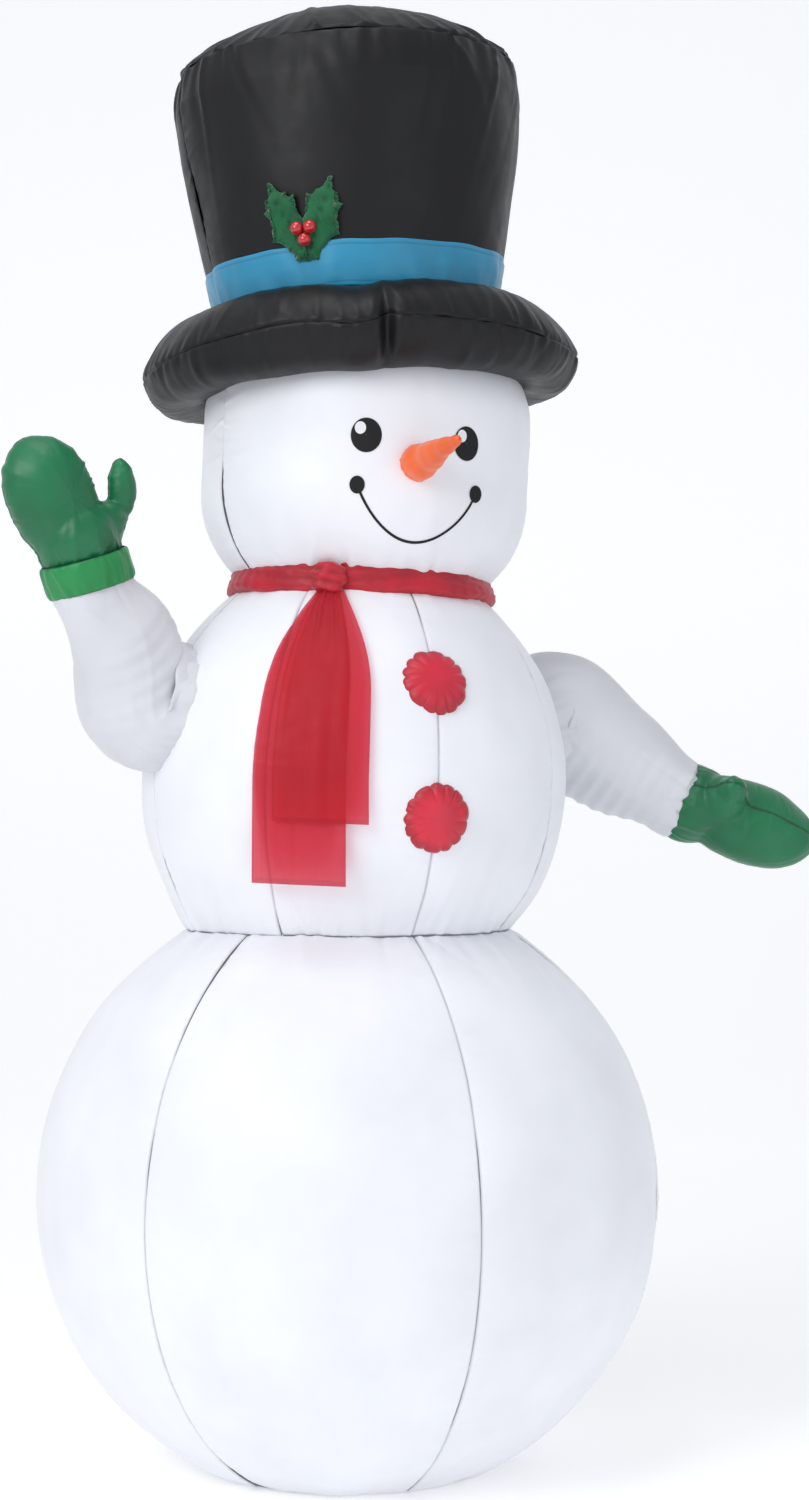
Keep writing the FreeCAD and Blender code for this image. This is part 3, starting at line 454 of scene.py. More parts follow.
def mix_colour(tree, share, first, second):
    node = tree.nodes.new("ShaderNodeMix")
    node.data_type = "RGBA"
    tree.links.new(share, node.inputs["Factor"])
    tree.links.new(first, node.inputs["A"])
    tree.links.new(second, node.inputs["B"])
    return node.outputs["Result"]


def maths(tree, operation, first, second):
    node = tree.nodes.new("ShaderNodeMath")
    node.operation = operation
    for number, value in enumerate((first, second)):
        if isinstance(value, float):
            node.inputs[number].default_value = value
        else:
            tree.links.new(value, node.inputs[number])
    return node.outputs["Value"]


def sewn_cloth_group():
    """Thin sewn cloth: soft mottling, fine crinkles, a weave, and darker seams; the same seam mask
    also carries painted shade on some pieces.
    """
    if "Sewn cloth" in bpy.data.node_groups:
        return bpy.data.node_groups["Sewn cloth"]
    tree, given, out = new_group(
        "Sewn cloth",
        [("Cloth", "NodeSocketColor", (0.8, 0.8, 0.8, 1)),
         ("Shade", "NodeSocketColor", (0.7, 0.7, 0.7, 1)),
         ("Thread", "NodeSocketColor", (0.4, 0.4, 0.4, 1)),
         ("Seam", "NodeSocketFloat", 0.0),
         ("Mottle Scale", "NodeSocketFloat", 5.0),
         ("Crinkle Scale", "NodeSocketFloat", 40.0),
         ("Weave Scale", "NodeSocketFloat", 900.0),
         ("Roughness", "NodeSocketFloat", 0.5)],
        [("Cloth", "NodeSocketColor"), ("Roughness", "NodeSocketFloat"),
         ("Height", "NodeSocketFloat")])
    place = tree.nodes.new("ShaderNodeTexCoord").outputs["Object"]
    clouds = noise(tree, place, given.outputs["Mottle Scale"], 4.0)
    mottle = ramp(tree, clouds, 0.35, 0.68, 0.0, 1.0)
    body = mix_colour(tree, mottle, given.outputs["Cloth"], given.outputs["Shade"])
    sewn = mix_colour(tree, given.outputs["Seam"], body, given.outputs["Thread"])
    tree.links.new(sewn, out.inputs["Cloth"])
    crinkle = noise(tree, place, given.outputs["Crinkle Scale"], 6.0)
    weave = noise(tree, place, given.outputs["Weave Scale"], 1.0)
    height = maths(tree, "ADD", maths(tree, "MULTIPLY", weave, 0.12), crinkle)
    tree.links.new(height, out.inputs["Height"])
    uneven = ramp(tree, crinkle, 0.3, 0.7, -0.06, 0.06)
    tree.links.new(maths(tree, "ADD", given.outputs["Roughness"], uneven), out.inputs["Roughness"])
    return tree


def moulded_group():
    """Moulded or drawn surfaces: a faint grain, handling marks and settled dust."""
    if "Moulded surface" in bpy.data.node_groups:
        return bpy.data.node_groups["Moulded surface"]
    tree, given, out = new_group(
        "Moulded surface",
        [("Body", "NodeSocketColor", (0.5, 0.5, 0.5, 1)),
         ("Dust", "NodeSocketColor", (0.6, 0.6, 0.6, 1)),
         ("Grain Scale", "NodeSocketFloat", 300.0),
         ("Roughness", "NodeSocketFloat", 0.4)],
        [("Body", "NodeSocketColor"), ("Roughness", "NodeSocketFloat"),
         ("Height", "NodeSocketFloat")])
    place = tree.nodes.new("ShaderNodeTexCoord").outputs["Object"]
    patches = ramp(tree, noise(tree, place, 22.0, 5.0), 0.45, 0.75, 0.0, 0.18)
    grain = noise(tree, place, given.outputs["Grain Scale"], 2.0)
    body = mix_colour(tree, patches, given.outputs["Body"], given.outputs["Dust"])
    tree.links.new(body, out.inputs["Body"])
    handled = ramp(tree, patches, 0.0, 0.18, -0.03, 0.10)
    rough = maths(tree, "ADD", given.outputs["Roughness"], handled)
    tree.links.new(rough, out.inputs["Roughness"])
    tree.links.new(grain, out.inputs["Height"])
    return tree


def rgba(colour):
    return tuple(colour[:3]) + (1.0,)


def toned(colour, share):
    return tuple(channel * share for channel in colour[:3])


def shader_base(name, group, settings):
    """A material whose group already feeds its colour, roughness and bump."""
    material = bpy.data.materials.new(name)
    material.use_nodes = True
    tree = material.node_tree
    shader = tree.nodes["Principled BSDF"]
    effect = tree.nodes.new("ShaderNodeGroup")
    effect.node_tree = group
    for label, value in settings.items():
        effect.inputs[label].default_value = value
    tree.links.new(effect.outputs[0], shader.inputs["Base Color"])
    tree.links.new(effect.outputs["Roughness"], shader.inputs["Roughness"])
    bump = tree.nodes.new("ShaderNodeBump")
    tree.links.new(effect.outputs["Height"], bump.inputs["Height"])
    tree.links.new(bump.outputs["Normal"], shader.inputs["Normal"])
    return material, shader, effect, bump


def cloth(name, colour, roughness=0.5, shade=0.88, thread=0.45, sheen=0.1, mottle=5.0,
          crinkle=38.0, bump_strength=0.25, glow=0.0, specular=0.5):
    if name in bpy.data.materials:
        return bpy.data.materials[name]
    material, shader, effect, bump = shader_base(name, sewn_cloth_group(), {
        "Cloth": rgba(colour), "Shade": rgba(toned(colour, shade)),
        "Thread": rgba(toned(colour, thread)), "Mottle Scale": mottle,
        "Crinkle Scale": crinkle, "Roughness": roughness})
    tree = material.node_tree
    # The seam mask holds the sewn lines, and on the scarf and buttons painted shade in fold hollows
    # and at rims.
    mask = tree.nodes.new("ShaderNodeAttribute")
    mask.attribute_name = "seam"
    tree.links.new(mask.outputs["Fac"], effect.inputs["Seam"])
    bump.inputs["Strength"].default_value = bump_strength
    bump.inputs["Distance"].default_value = 0.002
    shader.inputs["Sheen Weight"].default_value = sheen
    shader.inputs["Sheen Roughness"].default_value = 0.4
    shader.inputs["Specular IOR Level"].default_value = specular
    if glow:
        tree.links.new(effect.outputs[0], shader.inputs["Emission Color"])
        shader.inputs["Emission Strength"].default_value = glow
    return material


def thin_cloth(name, colour, tint, seen_through):
    """Voile that lets part of what lies behind it show."""
    if name in bpy.data.materials:
        return bpy.data.materials[name]
    material = cloth(name, colour, roughness=0.55, shade=0.85, sheen=0.3)
    tree = material.node_tree
    shader = tree.nodes["Principled BSDF"]
    clear = tree.nodes.new("ShaderNodeBsdfTransparent")
    clear.inputs["Color"].default_value = rgba(tint)
    both = tree.nodes.new("ShaderNodeMixShader")
    both.inputs["Fac"].default_value = seen_through
    tree.links.new(shader.outputs["BSDF"], both.inputs[1])
    tree.links.new(clear.outputs["BSDF"], both.inputs[2])
    tree.links.new(both.outputs["Shader"], tree.nodes["Material Output"].inputs["Surface"])
    return material


def moulded(name, colour, roughness=0.4, metallic=0.0, grain=300.0, bump_strength=0.1, coat=0.0,
            transmission=0.0):
    if name in bpy.data.materials:
        return bpy.data.materials[name]
    material, shader, _, bump = shader_base(name, moulded_group(), {
        "Body": rgba(colour), "Dust": rgba(tuple(0.7 * c + 0.15 for c in colour[:3])),
        "Grain Scale": grain, "Roughness": roughness})
    shader.inputs["Metallic"].default_value = metallic
    shader.inputs["Coat Weight"].default_value = coat
    shader.inputs["Transmission Weight"].default_value = transmission
    bump.inputs["Strength"].default_value = bump_strength
    bump.inputs["Distance"].default_value = 0.0005
    return material


def colours():
    return bpy.context.scene.snowman_colours


def white_nylon():
    return cloth("White nylon", colours().white, roughness=0.48, shade=0.93, thread=0.68,
                 crinkle=30.0, bump_strength=0.18, glow=colours().inner_glow)


# Painted shade: the sleeves take the body's white darkened to 0.8 and half its inner glow, a shaded
# copy of the body nylon.
def shaded_sleeve_nylon():
    return cloth("Sleeve nylon", toned(colours().white, 0.80), roughness=0.46, shade=0.92,
                 thread=0.6, crinkle=30.0, bump_strength=0.2, glow=colours().inner_glow * 0.5)


def hat_satin():
    return cloth("Hat satin", colours().hat, roughness=0.46, shade=0.8, thread=0.5, sheen=0.0,
                 crinkle=26.0, bump_strength=0.30, specular=0.28)


def printed_black():
    return cloth("Printed black", colours().hat, roughness=0.55, shade=0.9, sheen=0.0,
                 bump_strength=0.15, specular=0.3)


def printed_white():
    return cloth("Printed white", colours().white, roughness=0.5, bump_strength=0.1)


def band_ribbon():
    return cloth("Band ribbon", colours().band, roughness=0.42, shade=0.8, sheen=0.15)


def holly_felt():
    return cloth("Holly felt", colours().holly, roughness=0.85, shade=0.7, sheen=0.35,
                 crinkle=240.0, bump_strength=0.6, mottle=30.0)


def nose_nylon():
    return cloth("Nose nylon", colours().nose, roughness=0.45, shade=0.82, glow=0.06)


def button_nylon():
    return cloth("Button nylon", colours().button, roughness=0.42, shade=0.75, mottle=14.0)


def mitten_nylon():
    return cloth("Mitten nylon", colours().mitten, roughness=0.42, shade=0.72, sheen=0.15,
                 mottle=7.0, thread=0.35)


def cuff_nylon():
    return cloth("Cuff nylon", colours().cuff, roughness=0.42, shade=0.78, sheen=0.15,
                 mottle=9.0, thread=0.35)


# Painted shade: the wound band and the knot take the scarf colour darkened to 0.85, a shaded copy
# for the doubled cloth.
def shaded_scarf_nylon():
    return cloth("Scarf nylon", toned(colours().scarf, 0.85), roughness=0.5, shade=0.7, mottle=12.0)


def scarf_voile():
    return thin_cloth("Scarf voile", colours().scarf, (0.94, 0.22, 0.28), 0.48)


# ---- the lower ball and its base ----------------------------------------------

SEAM = dict(pitch=0.012, height=0.0016, width=0.0045, reach=0.028)
WAIST_SEAM = dict(pitch=0.020, height=0.0042, width=0.008, reach=0.07)
FOOT_SEAM = dict(pitch=0.030, height=0.0040, width=0.011, reach=0.08)
MIDDLE = np.array([0.0, 0.0, LOWER_EQUATOR])


def sizes():
    return bpy.context.scene.snowman_sizes


def node_middle(name):
    low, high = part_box(name)
    return np.array((low + high) / 2)


def calm_places(*places):
    """Stretches of cloth that stay flat under the parts fixed to them."""
    return [(node_middle(name), radius) for name, radius in places]


def lower_ball():
    """Six gores from the base to the waist."""
    span = 360.0 / LOWER_GORES
    blower = node_middle("flange_screws")
    calm = calm_places(("flange_screws", 0.125)) + zip_line()
    for number in range(LOWER_GORES):
        points = revolved(LOWER_LINE, LOWER_SEAM + number * span, span, 330, 96, close=0.11)
        style = dict(SEAM, height=SEAM["height"] * sizes().pucker)
        edges = [("left", style), ("right", style), ("high", WAIST_SEAM), ("low", FOOT_SEAM)]
        gore = panel(f"lower_panel_{number + 1}", points, white_nylon(), edges, 11 + number, MIDDLE,
                     swell=sizes().lower_swell, roll=0.0022, roll_scale=0.30, crease=0.0022,
                     calm=calm)
        drop_faces(gore, lambda place: np.linalg.norm(np.array(place) - blower) < 0.088)
        settle(gore, "envelope", "white_cloth", f"lower_gore_{number + 1}")


def zip_line():
    """Flat places along the zip, which lies on the seam at the back."""
    low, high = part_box("zip_tape")
    theta = LOWER_SEAM + 180.0
    heights = np.linspace(low.z, high.z, 24)
    return [(polar(theta, line_radius(LOWER_LINE, z), z), 0.024) for z in heights]


def base():
    """Flat round panel that the snowman stands on."""
    rows = np.linspace(BASE_RADIUS - 0.001, 0.01, 40)
    turn = np.linspace(0, 360, 181)
    points = polar(turn[None, :], rows[:, None], 0.0012)
    piece = grid_piece("base_cloth", points, white_nylon(), wrap=True)
    settle(piece, "envelope", "white_cloth", "base_panel")


# ---- torso, head and face -----------------------------------------------------

TORSO_MIDDLE = np.array([0.0, 0.0, TORSO_EQUATOR])
HEAD_MIDDLE = np.array([0.0, 0.0, (CHEEK_Z + TEMPLE_Z) / 2])
NECK_SEAM = dict(pitch=0.018, height=0.0034, width=0.007, reach=0.05)
FACE_SEAM = dict(pitch=0.011, height=0.0022, width=0.0045, reach=0.030)
EYE_MIDDLE = -2.9
EYE_SPREAD = 17.9
EYE_Z = 2.114
EYE_SIZE = (0.061, 0.069)
MOUTH_MIDDLE = -1.9
MOUTH_SPREAD = 21.3
MOUTH_CORNER_Z = 2.015
MOUTH_DEPTH = 0.105
MOUTH_BEND = 62.0             # how far each half of the smile turns
GLINT_SIZE = (0.022, 0.025)
GLINT_SHIFT = (-0.012, 0.014)
CORNER_SIZE = (0.030, 0.035)
DARTS = ((-27.8, NECK_Z, 1.912, 0.007), (10.5, NECK_Z, 1.905, 0.006),
         (5.6, 2.245, BRIM_Z, 0.004))    # angle, lowest, highest, depth


def torso():
    """Eight gores from the waist to the neck."""
    span = 360.0 / TORSO_GORES
    calm = calm_places(*[(f"tether_ring_{side}", 0.05) for side in ("left", "right")])
    calm = [(centre - LEAN_SIDE * 0.012, radius) for centre, radius in calm]
    for number in range(TORSO_GORES):
        points = revolved(TORSO_LINE, TORSO_SEAM + number * span, span, 230, 66, close=0.11)
        style = dict(SEAM, height=SEAM["height"] * 0.8 * sizes().pucker, reach=0.022)
        edges = [("left", style), ("right", style), ("low", WAIST_SEAM), ("high", NECK_SEAM)]
        gore = panel(f"torso_panel_{number + 1}", points, white_nylon(), edges, 31 + number,
                     TORSO_MIDDLE, swell=sizes().torso_swell, roll=0.0016, crease=0.0016,
                     place=lean, calm=calm)
        settle(gore, "envelope", "white_cloth", f"torso_gore_{number + 1}")


def darts(points):
    """Folds sewn into the face panel: two under the chin and one at the forehead."""
    theta = np.degrees(np.arctan2(points[..., 0], -points[..., 1]))
    reach = np.hypot(points[..., 0], points[..., 1])
    z = points[..., 2]
    field = np.zeros(z.shape)
    for place, low, high, depth in DARTS:
        off = np.radians(theta - place) * reach
        along = (1 - smooth(z, low, high)) if low == NECK_Z else smooth(z, low, high)
        field -= depth * along * np.exp(-(off / 0.004) ** 2)
        field += depth * 0.5 * along * np.exp(-((np.abs(off) - 0.014) / 0.009) ** 2)
    return field


def head():
    """The wide face panel and the two panels behind it."""
    back_span = (360.0 - 2 * FACE_HALF) / 2
    spans = (("face_panel", FACE_THETA - FACE_HALF, 2 * FACE_HALF, 200),
             ("head_back_left", FACE_THETA + FACE_HALF, back_span, 110),
             ("head_back_right", FACE_THETA + FACE_HALF + back_span, back_span, 110))
    made = []
    for number, (node, start, span, columns) in enumerate(spans):
        points = revolved(HEAD_LINE, start, span, 160, columns, close=0.09)
        style = dict(FACE_SEAM, height=FACE_SEAM["height"] * sizes().pucker)
        edges = [("left", style), ("right", style), ("low", NECK_SEAM), ("high", NECK_SEAM)]
        piece = panel(node + "_cloth", points, white_nylon(), edges, 51 + number, HEAD_MIDDLE,
                      swell=0.003, roll=0.0018, crease=0.0020, place=lean,
                      extra=darts(points) if node == "face_panel" else None)
        made.append(settle(piece, "envelope", "white_cloth", node))
    return made


def oval(skin, name, theta, z, size, out, material, shift=(0.0, 0.0)):
    """Thin printed oval that follows the cloth under it."""
    turn = np.linspace(0, 2 * math.pi, 49)
    share = np.linspace(0.02, 1, 10)[:, None]
    u = shift[0] + share * np.cos(turn) * size[0] / 2
    v = shift[1] + share * np.sin(turn) * size[1] / 2
    points = skin.points(theta + np.degrees(u / HEAD_RADIUS), z + v, out)
    return grid_piece(name, points, material, wrap=True)


def mouth_point(share):
    """Angle and height along the smile, from -1 at its right corner to 1 at its left."""
    bend, end = math.radians(share * MOUTH_BEND), math.radians(MOUTH_BEND)
    across = math.sin(bend) / math.sin(end)
    down = math.cos(bend) - math.cos(end)
    full = 1 - math.cos(end)
    return MOUTH_MIDDLE + across * MOUTH_SPREAD, MOUTH_CORNER_Z - MOUTH_DEPTH * down / full


def smile(skin, material):
    """Printed line from corner to corner, as a narrow strip on the cloth."""
    path = np.array([mouth_point(share) for share in np.linspace(-1, 1, 90)])
    metres = np.stack([np.radians(path[:, 0]) * HEAD_RADIUS, path[:, 1]], -1)
    along = np.gradient(metres, axis=0)
    along /= np.linalg.norm(along, axis=1, keepdims=True)
    side = np.stack([-along[:, 1], along[:, 0]], -1)
    across = np.linspace(-0.0026, 0.0026, 4)
    strip = metres[:, None] + side[:, None] * across[None, :, None]
    points = skin.points(np.degrees(strip[..., 0] / HEAD_RADIUS), strip[..., 1], 0.0011)
    return grid_piece("smile_line", points, material)


def face(head_pieces):
    """Printed eyes and mouth."""
    skin = Skin(head_pieces, lean)
    made = [smile(skin, printed_black())]
    for side, way in (("right", -1), ("left", 1)):
        theta = EYE_MIDDLE + way * EYE_SPREAD
        made.append(oval(skin, f"eye_{side}", theta, EYE_Z, EYE_SIZE, 0.0012, printed_black()))
        made.append(oval(skin, f"eye_glint_{side}", theta, EYE_Z, GLINT_SIZE, 0.0022,
                         printed_white(), shift=GLINT_SHIFT))
        corner, height = mouth_point(way)
        made.append(oval(skin, f"mouth_corner_{side}", corner, height, CORNER_SIZE, 0.0016,
                         printed_black()))
    for piece in made:
        white = piece.name.startswith("eye_glint")
        settle(piece, "envelope", "white_cloth" if white else "black_cloth")


# ---- nose and buttons ---------------------------------------------------------

NOSE_Z = NECK_Z + 0.226
NOSE_LENGTH = 0.262
NOSE_RADIUS = 0.033
NOSE_RISE = 4.0
BUTTON_RISES = (0.509, 0.241)
BUTTON_RADIUS = 0.0700
BUTTON_DOME = 0.028
BUTTON_FOLDS = 13


def tube_frames(spine):
    """Two unit vectors across a line at each of its points, without twist."""
    along = np.gradient(spine, axis=0)
    along /= np.linalg.norm(along, axis=1, keepdims=True)
    side = unit(np.cross(along[0], [0.31, 0.17, 0.93]))
    sides = []
    for way in along:
        side = unit(side - way * np.dot(side, way))
        sides.append(side)
    sides = np.array(sides)
    return along, sides, np.cross(along, sides)


def tube_points(spine, radii, columns, squash=1.0, side=None):
    """Grid round a line; squash makes its section narrower across the given side."""
    along, first, second = tube_frames(spine)
    if side is not None:
        first = np.array([unit(np.asarray(side) - way * np.dot(side, way)) for way in along])
        second = np.cross(along, first)
    turn = np.linspace(0, 2 * math.pi, columns)
    ring = (np.cos(turn)[None, :, None] * first[:, None]
            + np.sin(turn)[None, :, None] * second[:, None] * squash)
    return spine[:, None] + ring * np.asarray(radii)[:, None, None]


def carrot_nose(head_pieces):
    """Stuffed cone, gathered where it is sewn to the face."""
    skin = Skin(head_pieces, lean)
    foot = skin.point(FACE_THETA, NOSE_Z, -0.010)
    axis = lean(polar(np.array(FACE_THETA), 0.0, NOSE_Z))
    ahead = unit(foot - axis)
    way = unit(ahead + np.array([0, 0, math.tan(math.radians(NOSE_RISE))]))
    share = np.linspace(0, 1, 90)
    spine = foot + way * (share * NOSE_LENGTH)[:, None]
    radii = NOSE_RADIUS * (1 - share ** 1.6 * 0.80) + 0.004 * np.exp(-((share - 0.12) / 0.07) ** 2)
    radii = radii * np.sqrt(np.clip(1 - ((share - 0.93) / 0.0701).clip(0) ** 2, 0.0004, 1))
    points = tube_points(spine, radii, 97)
    rings = 0.0011 * np.sin(share * 34 + 1.1) * np.exp(-share * 1.4)
    edges = [("low", dict(pitch=0.011, height=0.0028, width=0.0035, reach=0.045))]
    piece = panel("carrot_nose_cloth", points, nose_nylon(), edges, 71, foot + way * 0.1,
                  roll=0.0012, roll_scale=0.05, wrap=True,
                  extra=np.broadcast_to(rings[:, None], points.shape[:2]))
    settle(piece, "envelope", "orange_cloth", "carrot_nose")


def coat_buttons(torso_pieces):
    """Two puffed rounds, gathered into scallops at their rims."""
    skin = Skin(torso_pieces, lean)
    for number, rise in enumerate(BUTTON_RISES):
        z = WAIST_Z + rise
        centre = skin.point(TORSO_SEAM, z, 0.001)
        above, below = (skin.point(TORSO_SEAM, z + step, 0.0) for step in (0.05, -0.05))
        up = unit(above - below)
        side = unit(np.cross(up, [0.0, -1.0, 0.0]))
        out = unit(np.cross(side, up))
        out = out if out[1] < 0 else -out
        rng = np.random.default_rng(80 + number)
        turn = np.linspace(0, 2 * math.pi, 193)
        share = np.concatenate([np.linspace(0.01, 0.9, 26), np.linspace(0.91, 1.0, 16)])
        phase = turn + 0.10 * np.sin(turn * 3 + rng.uniform(0, 6)) + rng.uniform(0, 1)
        lobes = np.abs(np.cos(phase * BUTTON_FOLDS / 2)) ** 0.55
        size = rng.uniform(0.75, 1.25, BUTTON_FOLDS * 4)
        lobes = lobes * np.interp(turn, np.linspace(0, 2 * math.pi, BUTTON_FOLDS * 4), size)
        lobes[-1] = lobes[0]
        tuck = 0.0040 * (1 - lobes[None, :]) * share[:, None] ** 6
        radius = share[:, None] * (BUTTON_RADIUS - tuck)
        dome = BUTTON_DOME * np.sqrt(np.clip(1 - share ** 2.6, 0, 1))
        fold = 0.0055 * smooth(share, 0.35, 0.92) * (1 - smooth(share, 0.97, 1.0) * 0.6)
        height = dome[:, None] - fold[:, None] * (1 - lobes[None, :])
        points = (centre + radius[..., None] * (np.cos(turn)[None, :, None] * side
                                                + np.sin(turn)[None, :, None] * up)
                  + height[..., None] * out - out * 0.004)
        # Painted shade: the seam mask darkens each button's outer third towards its thread colour,
        # leaving the centre lighter.
        rim_shade = np.broadcast_to(smooth(share, 0.66, 0.98)[:, None], height.shape)
        piece = grid_piece(f"coat_button_{number + 1}", points, button_nylon(), wrap=True,
                           masks={"seam": rim_shade * 0.6}, inside=centre - out * 0.02)
        settle(piece, "envelope", "red_button_cloth", "coat_buttons")


# ---- hat ----------------------------------------------------------------------

HAT_MID = np.array([0.0, 0.0, (HAT_FOOT[1] + HAT_WIDE[1]) / 2])
BRIM_OUT = 0.458
BRIM_IN = 0.300
BRIM_MIDDLE = (BRIM_OUT + BRIM_IN) / 2
BRIM_HALF_HEIGHT = 0.084
BRIM_START = 165.0            # where the brim's rings are closed, at the back
BRIM_COLUMNS = 460
NOTCH_THETA = -13.8
TOP_SEAM = dict(pitch=0.026, height=0.0060, width=0.009, reach=0.10)
HAT_EDGE = dict(pitch=0.020, height=0.0040, width=0.008, reach=0.06)
BAND_ROWS = 34
HOLLY_THETA = -38.5
FELT_THICKNESS = 0.004
BRIM_SEAM = dict(pitch=0.016, height=0.0046, width=0.006, reach=0.040)


def hat_sides():
    made = []
    for number, node in enumerate(("hat_side_front", "hat_side_back")):
        points = revolved(HAT_LINE, HAT_SEAM + 180.0 * number, 180.0, 170, 170, close=0.09)
        edges = [("left", SEAM), ("right", SEAM), ("high", TOP_SEAM), ("low", HAT_EDGE)]
        piece = panel(node + "_cloth", points, hat_satin(), edges, 91 + number, HAT_MID,
                      swell=0.003, roll=0.0026, roll_scale=0.20, crease=0.0015, place=seat_hat)
        made.append(settle(piece, "envelope", "black_cloth", node))
    return made


def hat_top():
    """Domed round panel, pleated where it is sewn to the sides."""
    rise = HAT_CREST - HAT_SHOULDER[1]
    ball = (HAT_SHOULDER[0] ** 2 + rise ** 2) / (2 * rise)
    half = math.asin(HAT_SHOULDER[0] / ball)
    slope = np.linspace(half, 0.004, 90)
    line = np.stack([ball * np.sin(slope), HAT_CREST - ball + ball * np.cos(slope)], -1)
    points = revolved(line, 150.0, 360.0, 90, 340)
    piece = panel("hat_top_cloth", points, hat_satin(), [("low", TOP_SEAM)], 95, HAT_MID,
                  roll=0.003, crease=0.003, place=seat_hat, wrap=True)
    settle(piece, "envelope", "black_cloth", "hat_top")


def brim_shape(points):
    """The brim's droop at its sides and the pinch in its front, then its place on the head."""
    theta = np.degrees(np.arctan2(points[..., 0], -points[..., 1]))
    reach = np.hypot(points[..., 0], points[..., 1])
    outer = smooth(reach, BRIM_IN, BRIM_OUT)
    side = np.sin(np.radians(theta - FRONT_TILT)) ** 2
    pinch = np.exp(-((theta - NOTCH_THETA) / 1.7) ** 2)
    step = np.exp(-((theta - NOTCH_THETA + 9.0) / 8.0) ** 2) * (theta < NOTCH_THETA)
    moved = np.array(points, float)
    moved[..., 2] += -sizes().brim_droop * side * outer ** 1.5 - 0.014 * step * outer
    moved[..., 2] += 0.010 * pinch * outer
    inward = (1 - pinch * outer * 0.055)[..., None]
    moved[..., :2] *= inward
    return seat_hat(moved)


def brim_panel(name, node, line, edges, seed, heart, roll):
    points = revolved(line, BRIM_START, 360.0, 70, BRIM_COLUMNS)
    inner = polar(BRIM_START + np.linspace(0, 360, BRIM_COLUMNS), heart[0], heart[1])[None]
    piece = panel(name, points, hat_satin(), edges, seed, inner, roll=roll, roll_scale=0.16,
                  crease=0.004, place=brim_shape, wrap=True)
    settle(piece, "envelope", "black_cloth", node)


def hat_brim():
    """Fat rolled brim in two halves that are gathered into one seam at the rim."""
    over = arc_points((BRIM_OUT, BRIM_Z), (BRIM_MIDDLE, BRIM_Z + BRIM_HALF_HEIGHT),
                      (HAT_FOOT[0] - 0.004, BRIM_Z + 0.062))
    under = arc_points((BRIM_IN, BRIM_Z - 0.067), (BRIM_MIDDLE, BRIM_Z - BRIM_HALF_HEIGHT),
                       (BRIM_OUT, BRIM_Z))
    heart = (BRIM_MIDDLE, BRIM_Z)
    brim_panel("brim_over_cloth", "brim_over", over, [("low", BRIM_SEAM), ("high", HAT_EDGE)],
               97, heart, 0.0026)
    brim_panel("brim_under_cloth", "brim_under", under, [("high", BRIM_SEAM)], 98, heart, 0.0024)


def hat_band(hat_pieces):
    """Ribbon laid round the foot of the hat."""
    skin = Skin(hat_pieces, seat_hat)
    turn = np.linspace(0, 360, 301)
    rng = np.random.default_rng(101)
    wave = sum(rng.uniform(0.2, 1) * np.sin(np.radians(turn) * k + rng.uniform(0, 6))
               for k in (3, 5, 9, 14)) * 0.0011
    rows = []
    for share, out in ((0.0, 0.0006), (0.0, 0.0030), (0.2, 0.0042), (0.5, 0.0048), (0.8, 0.0042),
                       (1.0, 0.0030), (1.0, 0.0006)):
        z = BAND_LOW + share * BAND_HEIGHT + wave
        rows.append(skin.points(turn, z, out + 0.0010 * np.sin(np.radians(turn) * 23 + share * 4)))
    points = resample_rows(np.array(rows), BAND_ROWS)
    hems = np.minimum(np.arange(BAND_ROWS), np.arange(BAND_ROWS)[::-1])
    stitches = np.broadcast_to(((hems == 4) * 0.6)[:, None], points.shape[:2])
    piece = grid_piece("hat_ribbon", points, band_ribbon(), wrap=True, masks={"seam": stitches},
                       inside=seat_hat(HAT_MID))
    settle(piece, "envelope", "blue_ribbon", "hat_band")


def resample_rows(points, rows):
    """The grid with more rows, spaced evenly down each column."""
    columns = [resample(points[:, k], rows) for k in range(points.shape[1])]
    return np.stack(columns, axis=1)


LEAF_EDGE = ((0.000, -0.078), (0.022, -0.076), (0.036, -0.054), (0.069, -0.032), (0.065, -0.004),
             (0.080, 0.025), (0.068, 0.048), (0.060, 0.082), (0.030, 0.058), (0.014, 0.052),
             (0.010, 0.020), (0.000, 0.004))


def leaf_outline(way):
    """Leaf edge with a hollow curve between each two prickles."""
    corners = [Vector((way * x, z)) for x, z in LEAF_EDGE]
    centre = Vector((way * 0.034, 0.0))
    outline = []
    for number, (start, end) in enumerate(zip(corners[:-1], corners[1:])):
        for step in range(6):
            t = step / 6
            place = start.lerp(end, t)
            hollow = 0.10 if 1 <= number <= 8 else 0.02
            outline.append(place.lerp(centre, hollow * 4 * t * (1 - t)))
    outline.append(corners[-1])
    return outline


